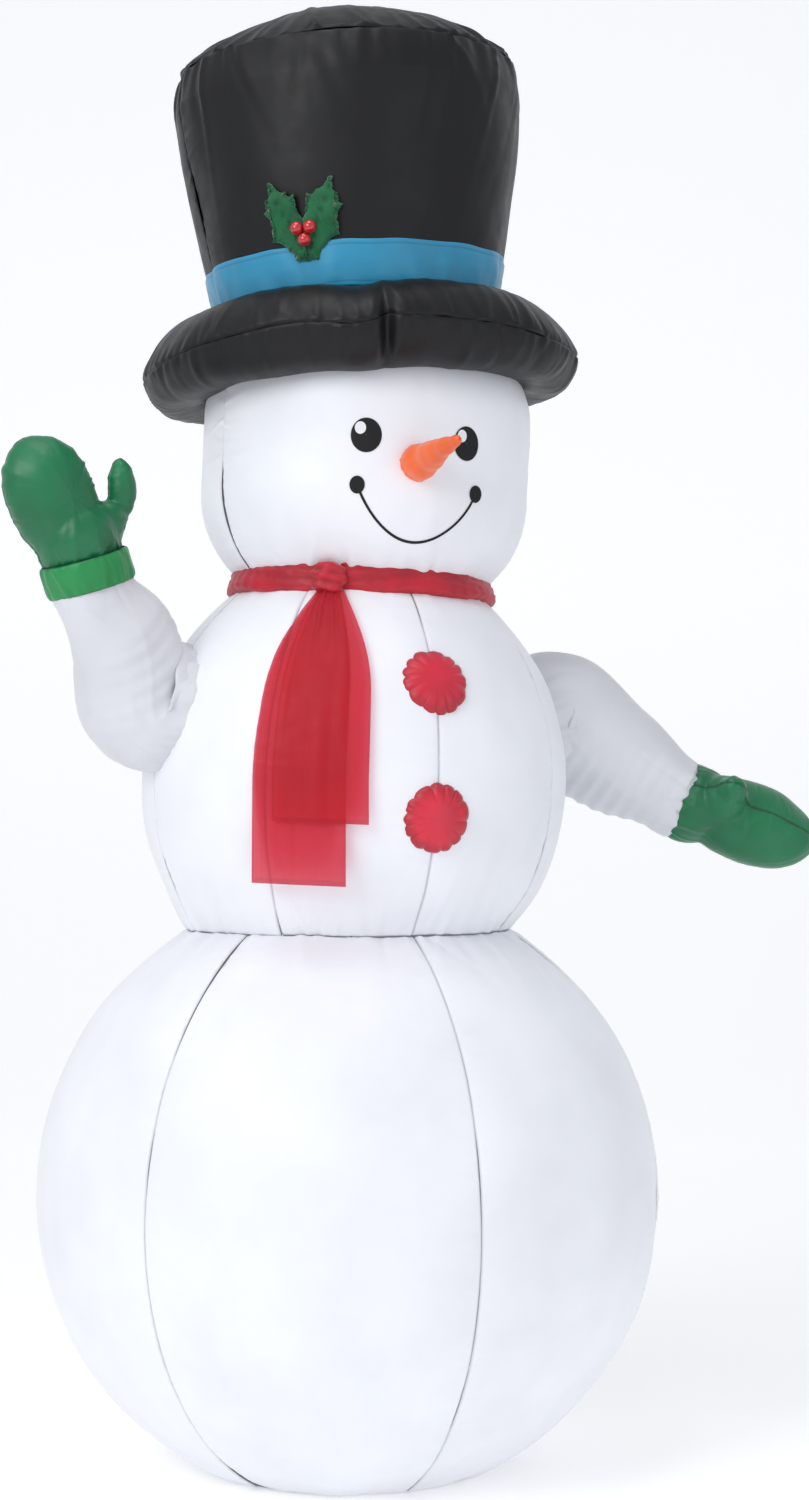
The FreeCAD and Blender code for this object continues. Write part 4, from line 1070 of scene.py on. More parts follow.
def holly(hat_pieces):
    """Two felt leaves stitched down their middles; the berries are the frame's own."""
    skin = Skin(hat_pieces, seat_hat)
    radius = line_radius(HAT_LINE, HOLLY_Z)
    for side, way in (("right", -1), ("left", 1)):
        outline = leaf_outline(way)
        mesh = bmesh.new()
        ring = [mesh.verts.new((p.x, 0.0, p.y)) for p in outline]
        mesh.faces.new(ring)
        bmesh.ops.triangulate(mesh, faces=mesh.faces[:])
        for _ in range(3):
            bmesh.ops.subdivide_edges(mesh, edges=mesh.edges[:], cuts=1, use_grid_fill=True)
        bmesh.ops.beautify_fill(mesh, faces=mesh.faces[:], edges=mesh.edges[:])
        edge = np.array([[p.x, p.y] for p in outline])
        foot, tip = np.array([0.004 * way, -0.062]), np.array([0.055 * way, 0.060])
        line = unit(tip - foot)
        seam = []
        for vert in mesh.verts:
            flat = np.array([vert.co.x, vert.co.z])
            near = np.linalg.norm(edge - flat, axis=1).min()
            off = abs(np.cross(line, flat - foot))
            vein = math.exp(-(off / 0.0022) ** 2)
            puff = 0.0075 + 0.0045 * (1 - math.exp(-near / 0.006)) - 0.0035 * vein
            curl = 0.004 * math.sin(flat[1] * 60 + way) * min(1, near / 0.01 + 0.4)
            theta = HOLLY_THETA + math.degrees(flat[0] / radius)
            vert.co = skin.point(theta, HOLLY_Z + flat[1], puff + curl)
            seam.append(vein * 0.8)
        piece = bmesh_piece(f"holly_leaf_{side}", mesh, holly_felt(), seam)
        middle = np.mean([v.co for v in piece.data.vertices], axis=0)
        if sum(f.normal.dot(Vector(middle - seat_hat(np.array([0, 0, HOLLY_Z])))) * f.area
               for f in piece.data.polygons) < 0:
            piece.data.flip_normals()
        thick = piece.modifiers.new("Felt thickness", "SOLIDIFY")
        thick.thickness = FELT_THICKNESS
        thick.offset = -1.0
        settle(piece, "envelope", "green_felt", "holly_leaves")


def bmesh_piece(name, mesh, material, seam=None):
    data = bpy.data.meshes.new(name)
    mesh.to_mesh(data)
    mesh.free()
    if seam is not None:
        data.attributes.new("seam", "FLOAT", "POINT").data.foreach_set("value", seam)
    data.materials.append(material)
    data.polygons.foreach_set("use_smooth", [True] * len(data.polygons))
    piece = bpy.data.objects.new(name, data)
    bpy.context.scene.collection.objects.link(piece)
    return piece


# ---- scarf --------------------------------------------------------------------

SCARF_RADIUS = 0.281
SCARF_HALF = 0.033
KNOT_HALF = (0.037, 0.024, 0.033)   # across, deep and up
TAIL_TOP = NECK_Z - 0.027
TAIL_FLARE = 0.21             # fall over which a tail opens from its gathers
TAIL_HEM = 0.004
UNDER_TAIL = dict(thetas=(-46.5, -22.5), top_thetas=(-38.5, -29.0), drop=0.616, out=0.0055)
FRONT_TAIL = dict(thetas=(-40.7, -17.0), top_thetas=(-37.5, -27.0), drop=0.494, out=0.0160)
TAIL_BEND = (0.035, 0.085)    # two falls below the neck, in metres


def scarf_band():
    """Cloth wound twice round the neck, its folds running along it."""
    turn = np.linspace(0, 360, 421)
    lap = np.linspace(0, 2 * math.pi, 61)
    rng = np.random.default_rng(110)
    drift = sum(rng.uniform(0.4, 1) * np.sin(np.radians(turn) * k + rng.uniform(0, 6))
                for k in (2, 3, 5, 8)) * 0.25
    near_knot = np.exp(-((turn + KNOT_THETA) % 360) ** 2 / 900.0)
    folds = np.zeros((len(lap), len(turn)))
    for count, depth in ((3.0, 0.0050), (5.0, 0.0030), (8.0, 0.0016)):
        folds += depth * np.sin(count * lap[:, None] + drift[None, :] * count + count)
    reach = SCARF_RADIUS - 0.022 + 0.022 * np.cos(lap)[:, None] + folds * 0.8
    height = (SCARF_HALF * np.sin(lap)[:, None] * (1 - 0.12 * near_knot[None, :])
              + 0.003 * drift[None, :])
    small = rolling(np.stack(np.broadcast_arrays(lap[:, None] * 0.05, turn[None, :] * 0.004,
                                                 0.0), -1), 7, 0.0008, 0.02)
    points = lean(polar(turn[None, :], reach + small, NECK_Z + height))
    points[:, -1] = points[:, 0]
    # Painted shade in the fold hollows: the seam mask darkens the band towards its thread colour
    # where the folds sink in.
    fold_shade = np.clip(-folds / 0.006, 0, 1) * 0.4
    ring = points.transpose(1, 0, 2)
    piece = grid_piece("scarf_band_cloth", ring[:-1], shaded_scarf_nylon(), wrap=True,
                       masks={"seam": fold_shade.T[:-1]})
    close_ring(piece, len(turn) - 1, len(lap) - 1)
    settle(piece, "envelope", "red_scarf_cloth", "scarf_neck_band")


def close_ring(piece, rows, columns):
    """Join the last row of a wrapped grid to its first."""
    mesh = bmesh.new()
    mesh.from_mesh(piece.data)
    mesh.verts.ensure_lookup_table()
    last = (rows - 1) * columns
    for k in range(columns):
        after = (k + 1) % columns
        corners = (last + k, last + after, after, k)
        mesh.faces.new([mesh.verts[i] for i in corners]).smooth = True
    bmesh.ops.recalc_face_normals(mesh, faces=mesh.faces[:])
    mesh.to_mesh(piece.data)
    mesh.free()


def scarf_knot():
    """Small tight knot with folds that run round it."""
    centre = lean(polar(np.array(KNOT_THETA), SCARF_RADIUS + 0.006, NECK_Z - 0.002))
    out = unit(polar(np.array(KNOT_THETA), 1.0, 0.0))
    side = unit(np.cross([0, 0, 1], out))
    turn = np.linspace(0, 2 * math.pi, 97)
    rise = np.linspace(-math.pi / 2 + 0.02, math.pi / 2 - 0.02, 60)
    ring = np.cos(rise)[:, None] ** 0.7
    across = ring * np.cos(turn) * KNOT_HALF[0]
    deep = ring * np.sin(turn) * KNOT_HALF[1]
    up = np.broadcast_to(np.sin(rise)[:, None] * KNOT_HALF[2], across.shape)
    points = (centre + across[..., None] * side + deep[..., None] * out
              + up[..., None] * np.array([0, 0, 1.0]))
    fold = 0.0024 * np.sin(up * 260 + across * 60 + 1.0) + 0.0014 * np.sin(up * 90 - across * 150)
    points = points + grid_normals(points, centre, True) * fold[..., None]
    points[:, -1] = points[:, 0]
    # Painted shade in the fold hollows: the seam mask darkens the knot towards its thread colour
    # where its folds sink in.
    piece = grid_piece("scarf_knot_cloth", points, shaded_scarf_nylon(), wrap=True, inside=centre,
                       masks={"seam": np.clip(-fold / 0.003, 0, 1) * 0.5})
    settle(piece, "envelope", "red_scarf_cloth", "scarf_knot")


def scarf_tail(skin, name, thetas, top_thetas, drop, out, seed):
    """Thin strip gathered at the knot, that lies over the torso and then hangs straight."""
    rows, columns = 190, 60
    across = np.linspace(0, 1, columns)
    high, low = TAIL_TOP, NECK_Z - drop
    heights = high + (low - high) * np.linspace(0, 1, rows)
    centre_z = circle_through((WAIST_RADIUS, WAIST_Z), (TORSO_RADIUS, TORSO_EQUATOR),
                              (NECK_RADIUS, NECK_Z))[1]
    rng = np.random.default_rng(seed)
    phases = rng.uniform(0, 6.3, 4)
    grid = []
    for z in heights:
        fallen = high - z
        spread = 1 - (1 - min(fallen / TAIL_FLARE, 1.0)) ** 2.2
        start = top_thetas[0] + (thetas[0] - top_thetas[0]) * spread
        end = top_thetas[1] + (thetas[1] - top_thetas[1]) * spread
        theta = start + (end - start) * across
        base = skin.points(theta, np.full(columns, max(z, centre_z)), out)
        base[:, 2] += min(z - centre_z, 0.0)
        gather = math.exp(-fallen / 0.11)
        wave = (0.0042 * gather * np.sin(across * 2 * math.pi * 4.5 + phases[0] + fallen * 4)
                + 0.0022 * min(1, fallen / 0.2)
                * np.sin(across * 2 * math.pi * 1.6 + phases[1] + fallen * 5)
                + 0.0014 * np.sin(across * 2 * math.pi * 3.1 + phases[2] - fallen * 9))
        free = 0.004 * smooth(np.array(fallen), 0.25, 0.6)
        push = np.abs(wave) * 0.6 + wave * 0.4 + free
        ways = unit_rows(polar(theta, 1.0, 0.0))
        grid.append(base + ways * push[:, None])
    points = np.array(grid)
    hem = np.minimum(across, 1 - across) * 0.19
    seam = np.broadcast_to((hem < TAIL_HEM) * 0.5, (rows, columns)).copy()
    seam[-4:] = 0.5
    piece = grid_piece(name, points, scarf_voile(), masks={"seam": seam})
    width = float(np.linalg.norm(np.diff(points[rows // 2], axis=0), axis=1).sum())
    length = float(np.linalg.norm(np.diff(points[:, columns // 2], axis=0), axis=1).sum())
    return piece, (round(width, 3), round(length, 3))


def unit_rows(vectors):
    return vectors / np.linalg.norm(vectors, axis=-1, keepdims=True)


def scarf_tails(torso_pieces):
    """The two hanging ends of the scarf, the front one over the other."""
    skin = Skin(torso_pieces, lean)
    under, under_flat = scarf_tail(skin, "scarf_under_sheet", seed=121, **UNDER_TAIL)
    front, front_flat = scarf_tail(skin, "scarf_front_sheet", seed=122, **FRONT_TAIL)
    for tail, bodies, node in ((under, ("envelope", "scarf_under"), "scarf_under_tail"),
                               (front, ("scarf_under", "scarf_front"), "scarf_front_tail")):
        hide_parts(node)
        start, end = (tuple(skin.point(KNOT_THETA, NECK_Z - fall, 0.01)) for fall in TAIL_BEND)
        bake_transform(tail)


# ---- arms and mittens ---------------------------------------------------------

class Arm:
    """Places along one arm: shoulder, elbow, wrist and the far end of its mitten."""

    def __init__(self, side, elbow, wrist, fingertip, thumb_way):
        self.side = side
        z = NECK_Z - 0.264
        centre, middle_z, radius = circle_through(
            (WAIST_RADIUS, WAIST_Z), (TORSO_RADIUS, TORSO_EQUATOR), (NECK_RADIUS, NECK_Z))
        tilt = math.asin((z - middle_z) / radius)
        reach = centre + radius * math.cos(tilt)
        self.foot = lean(np.array([side * reach, 0.0, z]))
        self.outward = LEAN_TURN @ np.array([side * math.cos(tilt), 0.0, math.sin(tilt)])
        self.ahead = unit(np.array([0, -1.0, 0]) + self.outward * self.outward[1])
        self.up = -np.cross(self.outward * side, self.ahead)
        self.elbow, self.wrist, self.fingertip = (
            self.foot + self.way(*place) for place in (elbow, wrist, fingertip))
        self.hand = unit(self.fingertip - self.wrist)
        self.forearm = unit(self.wrist - self.elbow)
        self.thumb = unit(self.way(*thumb_way))
        self.across = unit(self.thumb - self.hand * np.dot(self.thumb, self.hand))

    def way(self, out, ahead, up):
        return self.outward * out + self.ahead * ahead + self.up * up


RIGHT_ARM = Arm(-1, (0.1485, 0.0392, 0.0943), (0.2416, 0.0928, 0.1615), (0.4265, 0.1231, 0.4110),
                (-0.343, 0.101, 0.934))
LEFT_ARM = Arm(1, (0.1304, 0.0415, -0.0969), (0.2384, 0.0972, -0.2253), (0.4752, 0.1863, -0.3856),
               (0.480, 0.877, -0.014))


RIGHT_SLEEVE = dict(tuck=0.030, end_radius=0.084, girth=(0.140, 0.122, 0.107), tighten=0.022)
LEFT_SLEEVE = dict(tuck=0.020, end_radius=0.086, girth=(0.146, 0.136, 0.116), tighten=0.0)
CUFF_LOW = -0.004
CUFF_HIGH = 0.062
CUFF_RADIUS = 0.0865
CUFF_BULGE = 0.0045
CUFF_SEAM = dict(pitch=0.010, height=0.0050, width=0.0035, reach=0.020)


def smooth_line(corners, count):
    """Curve through a few points, with tangents taken from their neighbours."""
    corners = np.array(corners)
    tangents = np.gradient(corners, axis=0)
    pieces = []
    for k in range(len(corners) - 1):
        t = np.linspace(0, 1, 40)[:, None]
        h = (2 * t ** 3 - 3 * t ** 2 + 1, t ** 3 - 2 * t ** 2 + t,
             -2 * t ** 3 + 3 * t ** 2, t ** 3 - t ** 2)
        pieces.append(h[0] * corners[k] + h[1] * tangents[k]
                      + h[2] * corners[k + 1] + h[3] * tangents[k + 1])
    return resample(np.concatenate(pieces), count)


def sleeve(name, arm, tuck, end_radius, girth, tighten, seed):
    """Air-filled sleeve, gathered into the torso and at the wrist, creased at the elbow."""
    foot = arm.foot - arm.outward * 0.028
    end = arm.wrist + arm.hand * tuck
    inner = unit((arm.foot + arm.wrist) / 2 - arm.elbow)
    spine = smooth_line([foot, arm.foot + arm.outward * 0.05, arm.elbow + inner * tighten,
                         arm.wrist], 140)
    spine = np.concatenate([spine, arm.wrist + arm.hand * np.linspace(0.1, 1, 12)[:, None] * tuck])
    share = np.linspace(0, 1, len(spine))
    radii = np.interp(share, [0, 0.16, 0.34, 0.62, 0.84, 0.92, 1.0],
                      [0.136, *girth, end_radius + 0.003, end_radius, end_radius - 0.014])
    radii = np.convolve(np.pad(radii, 5, mode="edge"), np.ones(11) / 11, mode="valid")
    points = tube_points(spine, radii, 161)
    offset = points - arm.elbow
    at_elbow = np.exp(-(np.linalg.norm(offset, axis=-1) / 0.15) ** 2)
    inside = np.clip((offset @ inner) / 0.12, 0, 1)
    folds = -0.007 * at_elbow * inside * (np.sin((offset @ arm.forearm) * 95 + seed) ** 2)
    edges = [("low", dict(pitch=0.016, height=0.0055, width=0.007, reach=0.055)),
             ("high", dict(pitch=0.014, height=0.0050, width=0.006, reach=0.055))]
    return panel(name, points, shaded_sleeve_nylon(), edges, seed, (arm.foot + end) / 2, roll=0.0030,
                 roll_scale=0.13, wrap=True, extra=folds, crease=0.002)


def ellipsoid_points(centre, along, across, sizes, rows=40, columns=48):
    """Grid over an ellipsoid with half sizes across, through and along."""
    through = np.cross(along, across)
    rise = np.linspace(-math.pi / 2 + 0.01, math.pi / 2 - 0.01, rows)[:, None]
    turn = np.linspace(0, 2 * math.pi, columns)[None, :]
    parts = ((across, np.cos(rise) * np.cos(turn) * sizes[0]),
             (through, np.cos(rise) * np.sin(turn) * sizes[1]),
             (along, np.sin(rise) * np.ones_like(turn) * sizes[2]))
    return centre + sum(size[..., None] * axis for axis, size in parts)


def joined_bag(name, blobs, voxel):
    """One closed skin round some overlapping closed shapes."""
    mesh = bmesh.new()
    for points in blobs:
        rows, columns = points.shape[0], points.shape[1] - 1
        verts = [mesh.verts.new(p) for p in points[:, :-1].reshape(-1, 3)]
        for corners in grid_faces(rows, columns, True):
            mesh.faces.new([verts[i] for i in corners])
        mesh.faces.new(verts[:columns][::-1])
        mesh.faces.new(verts[-columns:])
    bmesh.ops.recalc_face_normals(mesh, faces=mesh.faces[:])
    piece = bmesh_piece(name, mesh, mitten_nylon())
    remesh = piece.modifiers.new("One skin", "REMESH")
    remesh.mode = "VOXEL"
    remesh.voxel_size = voxel
    relax = piece.modifiers.new("Soften", "SMOOTH")
    relax.iterations = 6
    relax.factor = 0.5
    bake_modifiers(piece)
    return piece


def bake_modifiers(piece):
    graph = bpy.context.evaluated_depsgraph_get()
    graph.update()
    baked = bpy.data.meshes.new_from_object(piece.evaluated_get(graph))
    piece.modifiers.clear()
    old = piece.data
    name = old.name
    piece.data = baked
    bpy.data.meshes.remove(old)
    baked.name = name
    baked.polygons.foreach_set("use_smooth", [True] * len(baked.polygons))


def vertex_array(piece):
    flat = np.empty(len(piece.data.vertices) * 3)
    piece.data.vertices.foreach_get("co", flat)
    return flat.reshape(-1, 3)


def set_vertices(piece, points):
    piece.data.vertices.foreach_set("co", np.ascontiguousarray(points, float).ravel())
    piece.data.update()


def inflate(piece, held, pressure, cap, frames=18):
    """Blow up a cloth bag whose held points stay, no point moving further than the cap."""
    before = vertex_array(piece)
    group = piece.vertex_groups.new(name="held")
    group.add([int(i) for i in np.nonzero(held)[0]], 1.0, "REPLACE")
    modifier = piece.modifiers.new("Inflate", "CLOTH")
    settings = modifier.settings
    settings.quality = 6
    settings.mass = 0.05
    settings.tension_stiffness = settings.compression_stiffness = 12
    settings.shear_stiffness = 6
    settings.bending_stiffness = 0.05
    settings.shrink_min = -0.035
    settings.use_pressure = True
    settings.uniform_pressure_force = pressure
    settings.vertex_group_mass = "held"
    settings.effector_weights.gravity = 0.0
    modifier.collision_settings.use_collision = False
    scene = bpy.context.scene
    for frame_number in range(1, frames + 1):
        scene.frame_set(frame_number)
    bake_modifiers(piece)
    scene.frame_set(1)
    after = vertex_array(piece)
    moved = after - before
    length = np.linalg.norm(moved, axis=1, keepdims=True)
    after = before + moved * np.minimum(1.0, cap / np.maximum(length, 1e-9))
    set_vertices(piece, after)


def gather_seam(piece, origin, plane, along, seed, height=0.0032, pitch=0.013, reach=0.028):
    """Sewn line where a bag crosses a plane, with the cloth gathered along it."""
    points = vertex_array(piece)
    normals = np.empty(len(points) * 3)
    piece.data.vertices.foreach_get("normal", normals)
    normals = normals.reshape(-1, 3)
    offset = points - origin
    d = np.abs(offset @ plane)
    side = np.cross(plane, along)
    angle = np.arctan2(offset @ side, offset @ along)
    radius = 0.13
    field = ridges(angle * radius, d, 2 * math.pi * radius, seed, pitch=pitch, height=height,
                   width=0.0045, reach=reach)
    field += ridges(angle * radius + 2 * math.pi * radius, d, 2 * math.pi * radius, seed,
                    pitch=pitch, height=height, width=0.0045, reach=reach)
    seam = np.exp(-(d / 0.0028) ** 2)
    field -= 0.0022 * seam
    set_vertices(piece, points + normals * field[:, None])
    return seam


def mitten(name, arm, foot, palm_sizes, palm_shift, thumb, seed):
    """Hand and thumb as one blown-up bag with a seam round its edge."""
    half = np.linalg.norm(arm.fingertip - foot) / 2
    centre = (arm.fingertip + foot) / 2
    neck = foot - arm.hand * 0.015
    heart = centre + arm.hand * palm_shift[0] + arm.across * palm_shift[1]
    along = unit(heart + arm.hand * 0.10 - neck)
    blobs = [ellipsoid_points(heart, along, unit(arm.across - along * np.dot(arm.across, along)),
                              (palm_sizes[0], palm_sizes[1], half * 0.985)),
             ellipsoid_points(neck + arm.hand * 0.05, arm.hand, arm.across,
                              (palm_sizes[2], palm_sizes[2] * 0.97, 0.085))]
    for place, along, extent in thumb:
        sideways = unit(np.cross(along, np.cross(arm.hand, arm.across)))
        blobs.append(ellipsoid_points(place, along, sideways, extent, 26, 32))
    piece = joined_bag(name, blobs, 0.0055)
    points = vertex_array(piece)
    held = (points - neck) @ arm.hand < 0.012
    inflate(piece, held, sizes().mitten_pressure, 0.012)
    finer = piece.modifiers.new("Finer", "SUBSURF")
    finer.levels = finer.render_levels = 1
    bake_modifiers(piece)
    plane = unit(np.cross(arm.hand, arm.across))
    seam = gather_seam(piece, centre, plane, arm.hand, seed)
    points = vertex_array(piece)
    normals = np.empty(len(points) * 3)
    piece.data.vertices.foreach_get("normal", normals)
    away = (points - neck) @ arm.hand
    around = np.arctan2((points - neck) @ plane, (points - neck) @ arm.across)
    wrist = ridges((around + math.pi) * 0.085, np.clip(away, 0, 9), 2 * math.pi * 0.085, seed + 5,
                   pitch=0.013, height=0.0045, width=0.0045, reach=0.05)
    field = wrist + rolling(points, seed, 0.0016, 0.09)
    set_vertices(piece, points + normals.reshape(-1, 3) * field[:, None])
    mask = piece.data.attributes.new("seam", "FLOAT", "POINT")
    mask.data.foreach_set("value", seam.astype(np.float32))
    return piece


def hung_sleeve(side, arm, shape, seed):
    """A sleeve that starts inside the torso and stands for the frame's sleeve and gusset."""
    made = sleeve(f"{side}_sleeve_cloth", arm, seed=seed, **shape)
    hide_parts(f"{side}_sleeve", f"{side}_shoulder_gusset")
    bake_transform(made)


def right_arm():
    """Raised arm with its cuff and mitten."""
    arm = RIGHT_ARM
    hung_sleeve("right", arm, RIGHT_SLEEVE, 131)
    spine = arm.wrist + arm.hand * np.linspace(CUFF_LOW, CUFF_HIGH, 30)[:, None]
    share = np.linspace(-1, 1, 30)
    radii = CUFF_RADIUS + CUFF_BULGE * np.sqrt(np.clip(1 - share ** 2, 0, 1))
    points = tube_points(spine, radii, 161)
    edges = [("low", CUFF_SEAM), ("high", CUFF_SEAM)]
    cuff = panel("right_cuff_cloth", points, cuff_nylon(), edges, 133,
                 arm.wrist + arm.hand * 0.03, roll=0.001, wrap=True, crease=0.001)
    settle(cuff, "right_arm", "green_cloth", "right_cuff")
    foot = arm.wrist + arm.hand * 0.058
    root = foot + arm.hand * 0.050 + arm.across * 0.058
    top = foot + arm.hand * 0.112 + arm.across * 0.116
    thumb = [(root, unit(arm.hand * 0.6 + arm.across), (0.042, 0.042, 0.056)),
             (top, unit(arm.hand * 1.0 + arm.across * 0.25), (0.027, 0.027, 0.058))]
    hand = mitten("right_mitten_cloth", arm, foot, (0.090, 0.066, 0.084), (0.004, -0.027),
                  thumb, 135)
    settle(hand, "right_arm", "green_cloth", "right_mitten")


def left_arm():
    """Lowered arm with its mitten, whose thumb points ahead."""
    arm = LEFT_ARM
    hung_sleeve("left", arm, LEFT_SLEEVE, 141)
    foot = arm.wrist
    root = foot + arm.hand * 0.085 + arm.across * 0.052
    top = root + arm.across * 0.050 + arm.hand * 0.006
    thumb = [(root, arm.across, (0.052, 0.052, 0.062)), (top, arm.across, (0.030, 0.030, 0.045))]
    hand = mitten("left_mitten_cloth", arm, foot, (0.072, 0.092, 0.084), (0.012, 0.0),
                  thumb, 145)
    settle(hand, "left_arm", "green_cloth", "left_mitten")


# ---- blower, lamps, zip and rings of the frame --------------------------------

def fittings():
    """Finishes for the parts that come from the frame as they are."""
    black = moulded("Black moulding", (0.018, 0.018, 0.020), 0.42, grain=420.0, bump_strength=0.3)
    grey = moulded("Grey moulding", (0.11, 0.115, 0.12), 0.45, grain=380.0, bump_strength=0.3)
    steel = moulded("Plated steel", (0.62, 0.62, 0.64), 0.28, metallic=1.0, grain=150.0)
    foam = moulded("Filter foam", (0.03, 0.03, 0.033), 0.95, grain=900.0, bump_strength=1.0)
    can = moulded("Motor can", (0.35, 0.35, 0.37), 0.36, metallic=1.0, grain=90.0)
    dome = moulded("Lamp dome", (0.85, 0.86, 0.88), 0.25, transmission=0.6)
    lead = moulded("Lead rubber", (0.02, 0.02, 0.02), 0.6)
    webbing = cloth("Webbing", (0.62, 0.63, 0.66), roughness=0.8, crinkle=420.0, bump_strength=0.7)
    tape = cloth("Zip tape", (0.70, 0.71, 0.75), roughness=0.75, crinkle=520.0, bump_strength=0.7)
    berry = moulded("Glossy berry", (0.50, 0.008, 0.015), 0.16, grain=60.0, coat=0.8)
    finishes = {
        black: ("intake_grille", "clamp_ring", "power_inlet"),
        grey: ("blower_housing", "impeller", "motor_bracket", "lamp_sockets"),
        steel: ("flange_screws", "fan_shaft", "zip_slider", "zip_pull", "tether_ring_left",
                "tether_ring_right"),
        foam: ("filter_screen",), can: ("fan_motor",), dome: ("lamp_bulbs",),
        lead: ("lamp_lead",), webbing: ("tether_tabs", "ground_loops", "lamp_hanger"),
        tape: ("zip_tape",), berry: ("holly_berries",)}
    for material, names in finishes.items():
        for name in names:
            node = frame["nodes"][name]
            if not node.material_slots:
                node.data.materials.append(material)
            for slot in node.material_slots:
                slot.material = material


# ---- stage --------------------------------------------------------------------

VIEW_DISTANCE = 5.45
EYE_HEIGHT = 1.356
LENS = 61.8
SHIFT = (0.0377, 0.0447)


def area_light(name, place, target, size, power, colour=(1.0, 1.0, 1.0)):
    light = bpy.data.lights.new(name, "AREA")
    light.shape = "RECTANGLE"
    light.size, light.size_y = size
    light.energy = power
    light.color = colour
    lamp = bpy.data.objects.new(name, light)
    lamp.location = place
    lamp.rotation_euler = (Vector(target) - Vector(place)).to_track_quat("-Z", "Y").to_euler()
    bpy.context.scene.collection.objects.link(lamp)
    return lamp


def floor():
    """Large pale floor that curves up far behind the snowman."""
    across = np.linspace(-9, 9, 19)
    path = np.concatenate([np.stack([np.linspace(-9, 5, 15), np.zeros(15)], -1),
                           arc_points((5.2, 0.0), (6.97, 0.73), (7.7, 2.5), 16),
                           np.stack([np.full(6, 7.7), np.linspace(2.9, 9, 6)], -1)])
    turn = turn_matrix((0, 0, 1), FRONT_TILT)
    points = np.array([[[x, y, z] for x in across] for y, z in path]) @ turn.T
    material = bpy.data.materials.new("Pale floor")
    material.use_nodes = True
    shader = material.node_tree.nodes["Principled BSDF"]
    shader.inputs["Base Color"].default_value = (0.90, 0.90, 0.90, 1)
    shader.inputs["Roughness"].default_value = 0.8
    shader.inputs["Emission Color"].default_value = (1.0, 1.0, 1.0, 1)
    shader.inputs["Emission Strength"].default_value = 0.26
    return grid_piece("floor", points, material)


def stage():
    scene = bpy.context.scene
    scene.view_settings.view_transform = "Standard"
    back = polar(np.array(FRONT_TILT), 1.0, 0.0)
    right = np.array([-back[1], back[0], 0.0])
    camera = bpy.data.cameras.new("Viewer")
    camera.lens = LENS
    camera.sensor_width = 36.0
    camera.sensor_fit = "AUTO"
    camera.shift_x, camera.shift_y = SHIFT
    camera.dof.use_dof = False
    viewer = bpy.data.objects.new("Viewer", camera)
    viewer.location = back * VIEW_DISTANCE + np.array([0, 0, EYE_HEIGHT])
    viewer.rotation_euler = (math.radians(90), 0, math.radians(FRONT_TILT))
    scene.collection.objects.link(viewer)
    scene.camera = viewer
    world = bpy.data.worlds.new("Soft studio")
    world.use_nodes = True
    world.node_tree.nodes["Background"].inputs["Color"].default_value = (0.93, 0.95, 1.0, 1)
    world.node_tree.nodes["Background"].inputs["Strength"].default_value = 0.62
    scene.world = world
    middle = (0.0, 0.0, 1.5)
    up = np.array([0, 0, 1.0])
    lamps = [area_light("Key", back * 4.2 - right * 3.0 + up * 3.9, middle, (2.6, 2.6), 105.0),
             area_light("Fill", back * 4.6 + right * 3.6 + up * 1.8, middle, (3.2, 3.2), 28.0,
                        (0.92, 0.95, 1.0)),
             area_light("Top", back * 1.5 - right * 0.6 + up * 5.6, middle, (2.0, 2.0), 40.0)]
    floor()


# ---- add-on -------------------------------------------------------------------

class SnowmanSizes(bpy.types.PropertyGroup):
    lower_swell: FloatProperty(
        name="Lower swell", description="How far the lower gores bulge between their seams",
        default=0.008, min=0.0, max=0.02, unit="LENGTH")
    torso_swell: FloatProperty(
        name="Torso swell", description="How far the torso gores bulge between their seams",
        default=0.004, min=0.0, max=0.015, unit="LENGTH")
    pucker: FloatProperty(
        name="Gathering", description="Height of the puckers along the seams, against the usual",
        default=1.0, min=0.0, max=2.0, subtype="FACTOR")
    brim_droop: FloatProperty(
        name="Brim droop", description="How far the brim's sides hang below its front",
        default=0.038, min=0.0, max=0.06, unit="LENGTH")
    mitten_pressure: FloatProperty(
        name="Mitten pressure", description="Air pressure in the mittens while they are blown up",
        default=4.0, min=0.0, max=10.0)


def colour_property(name, description, default):
    return FloatVectorProperty(name=name, description=description, default=default, size=3,
                               min=0.0, max=1.0, subtype="COLOR")


class SnowmanColours(bpy.types.PropertyGroup):
    white: colour_property("Body", "Nylon of the body, head and sleeves", (0.83, 0.845, 0.89))
    hat: colour_property("Hat", "Satin of the hat, and the printed eyes and mouth",
                         (0.008, 0.008, 0.009))
    band: colour_property("Hat band", "Ribbon round the hat", (0.023, 0.29, 0.50))
    holly: colour_property("Holly", "Felt leaves", (0.006, 0.13, 0.045))
    nose: colour_property("Nose", "Carrot nose", (0.85, 0.13, 0.02))
    button: colour_property("Buttons", "Puffed coat buttons", (0.66, 0.018, 0.045))
    mitten: colour_property("Mittens", "Nylon of both mittens", (0.002, 0.165, 0.060))
    cuff: colour_property("Cuff", "Single green nylon of the cuff", (0.008, 0.255, 0.062))
    scarf: colour_property("Scarf", "Voile of the scarf", (0.60, 0.010, 0.030))
    inner_glow: FloatProperty(name="Inner light", description="Light that the lamps inside put "
                              "through the white nylon", default=0.05, min=0.0, max=1.0)


def finished(start):
    """The pieces already made whose names start in one way."""
    found = [piece for piece in bpy.data.objects if piece.name.startswith(start)]
    if not found:
        raise RuntimeError(f"make {start} first")
    return found


class SNOWMAN_OT_lower_ball(bpy.types.Operator):
    """Sew the base and the six gores of the lower ball"""
    bl_idname = "snowman.lower_ball"
    bl_label = "Lower ball"
    bl_options = {"REGISTER", "UNDO"}

    def execute(self, context):
        lower_ball()
        base()
        return {"FINISHED"}


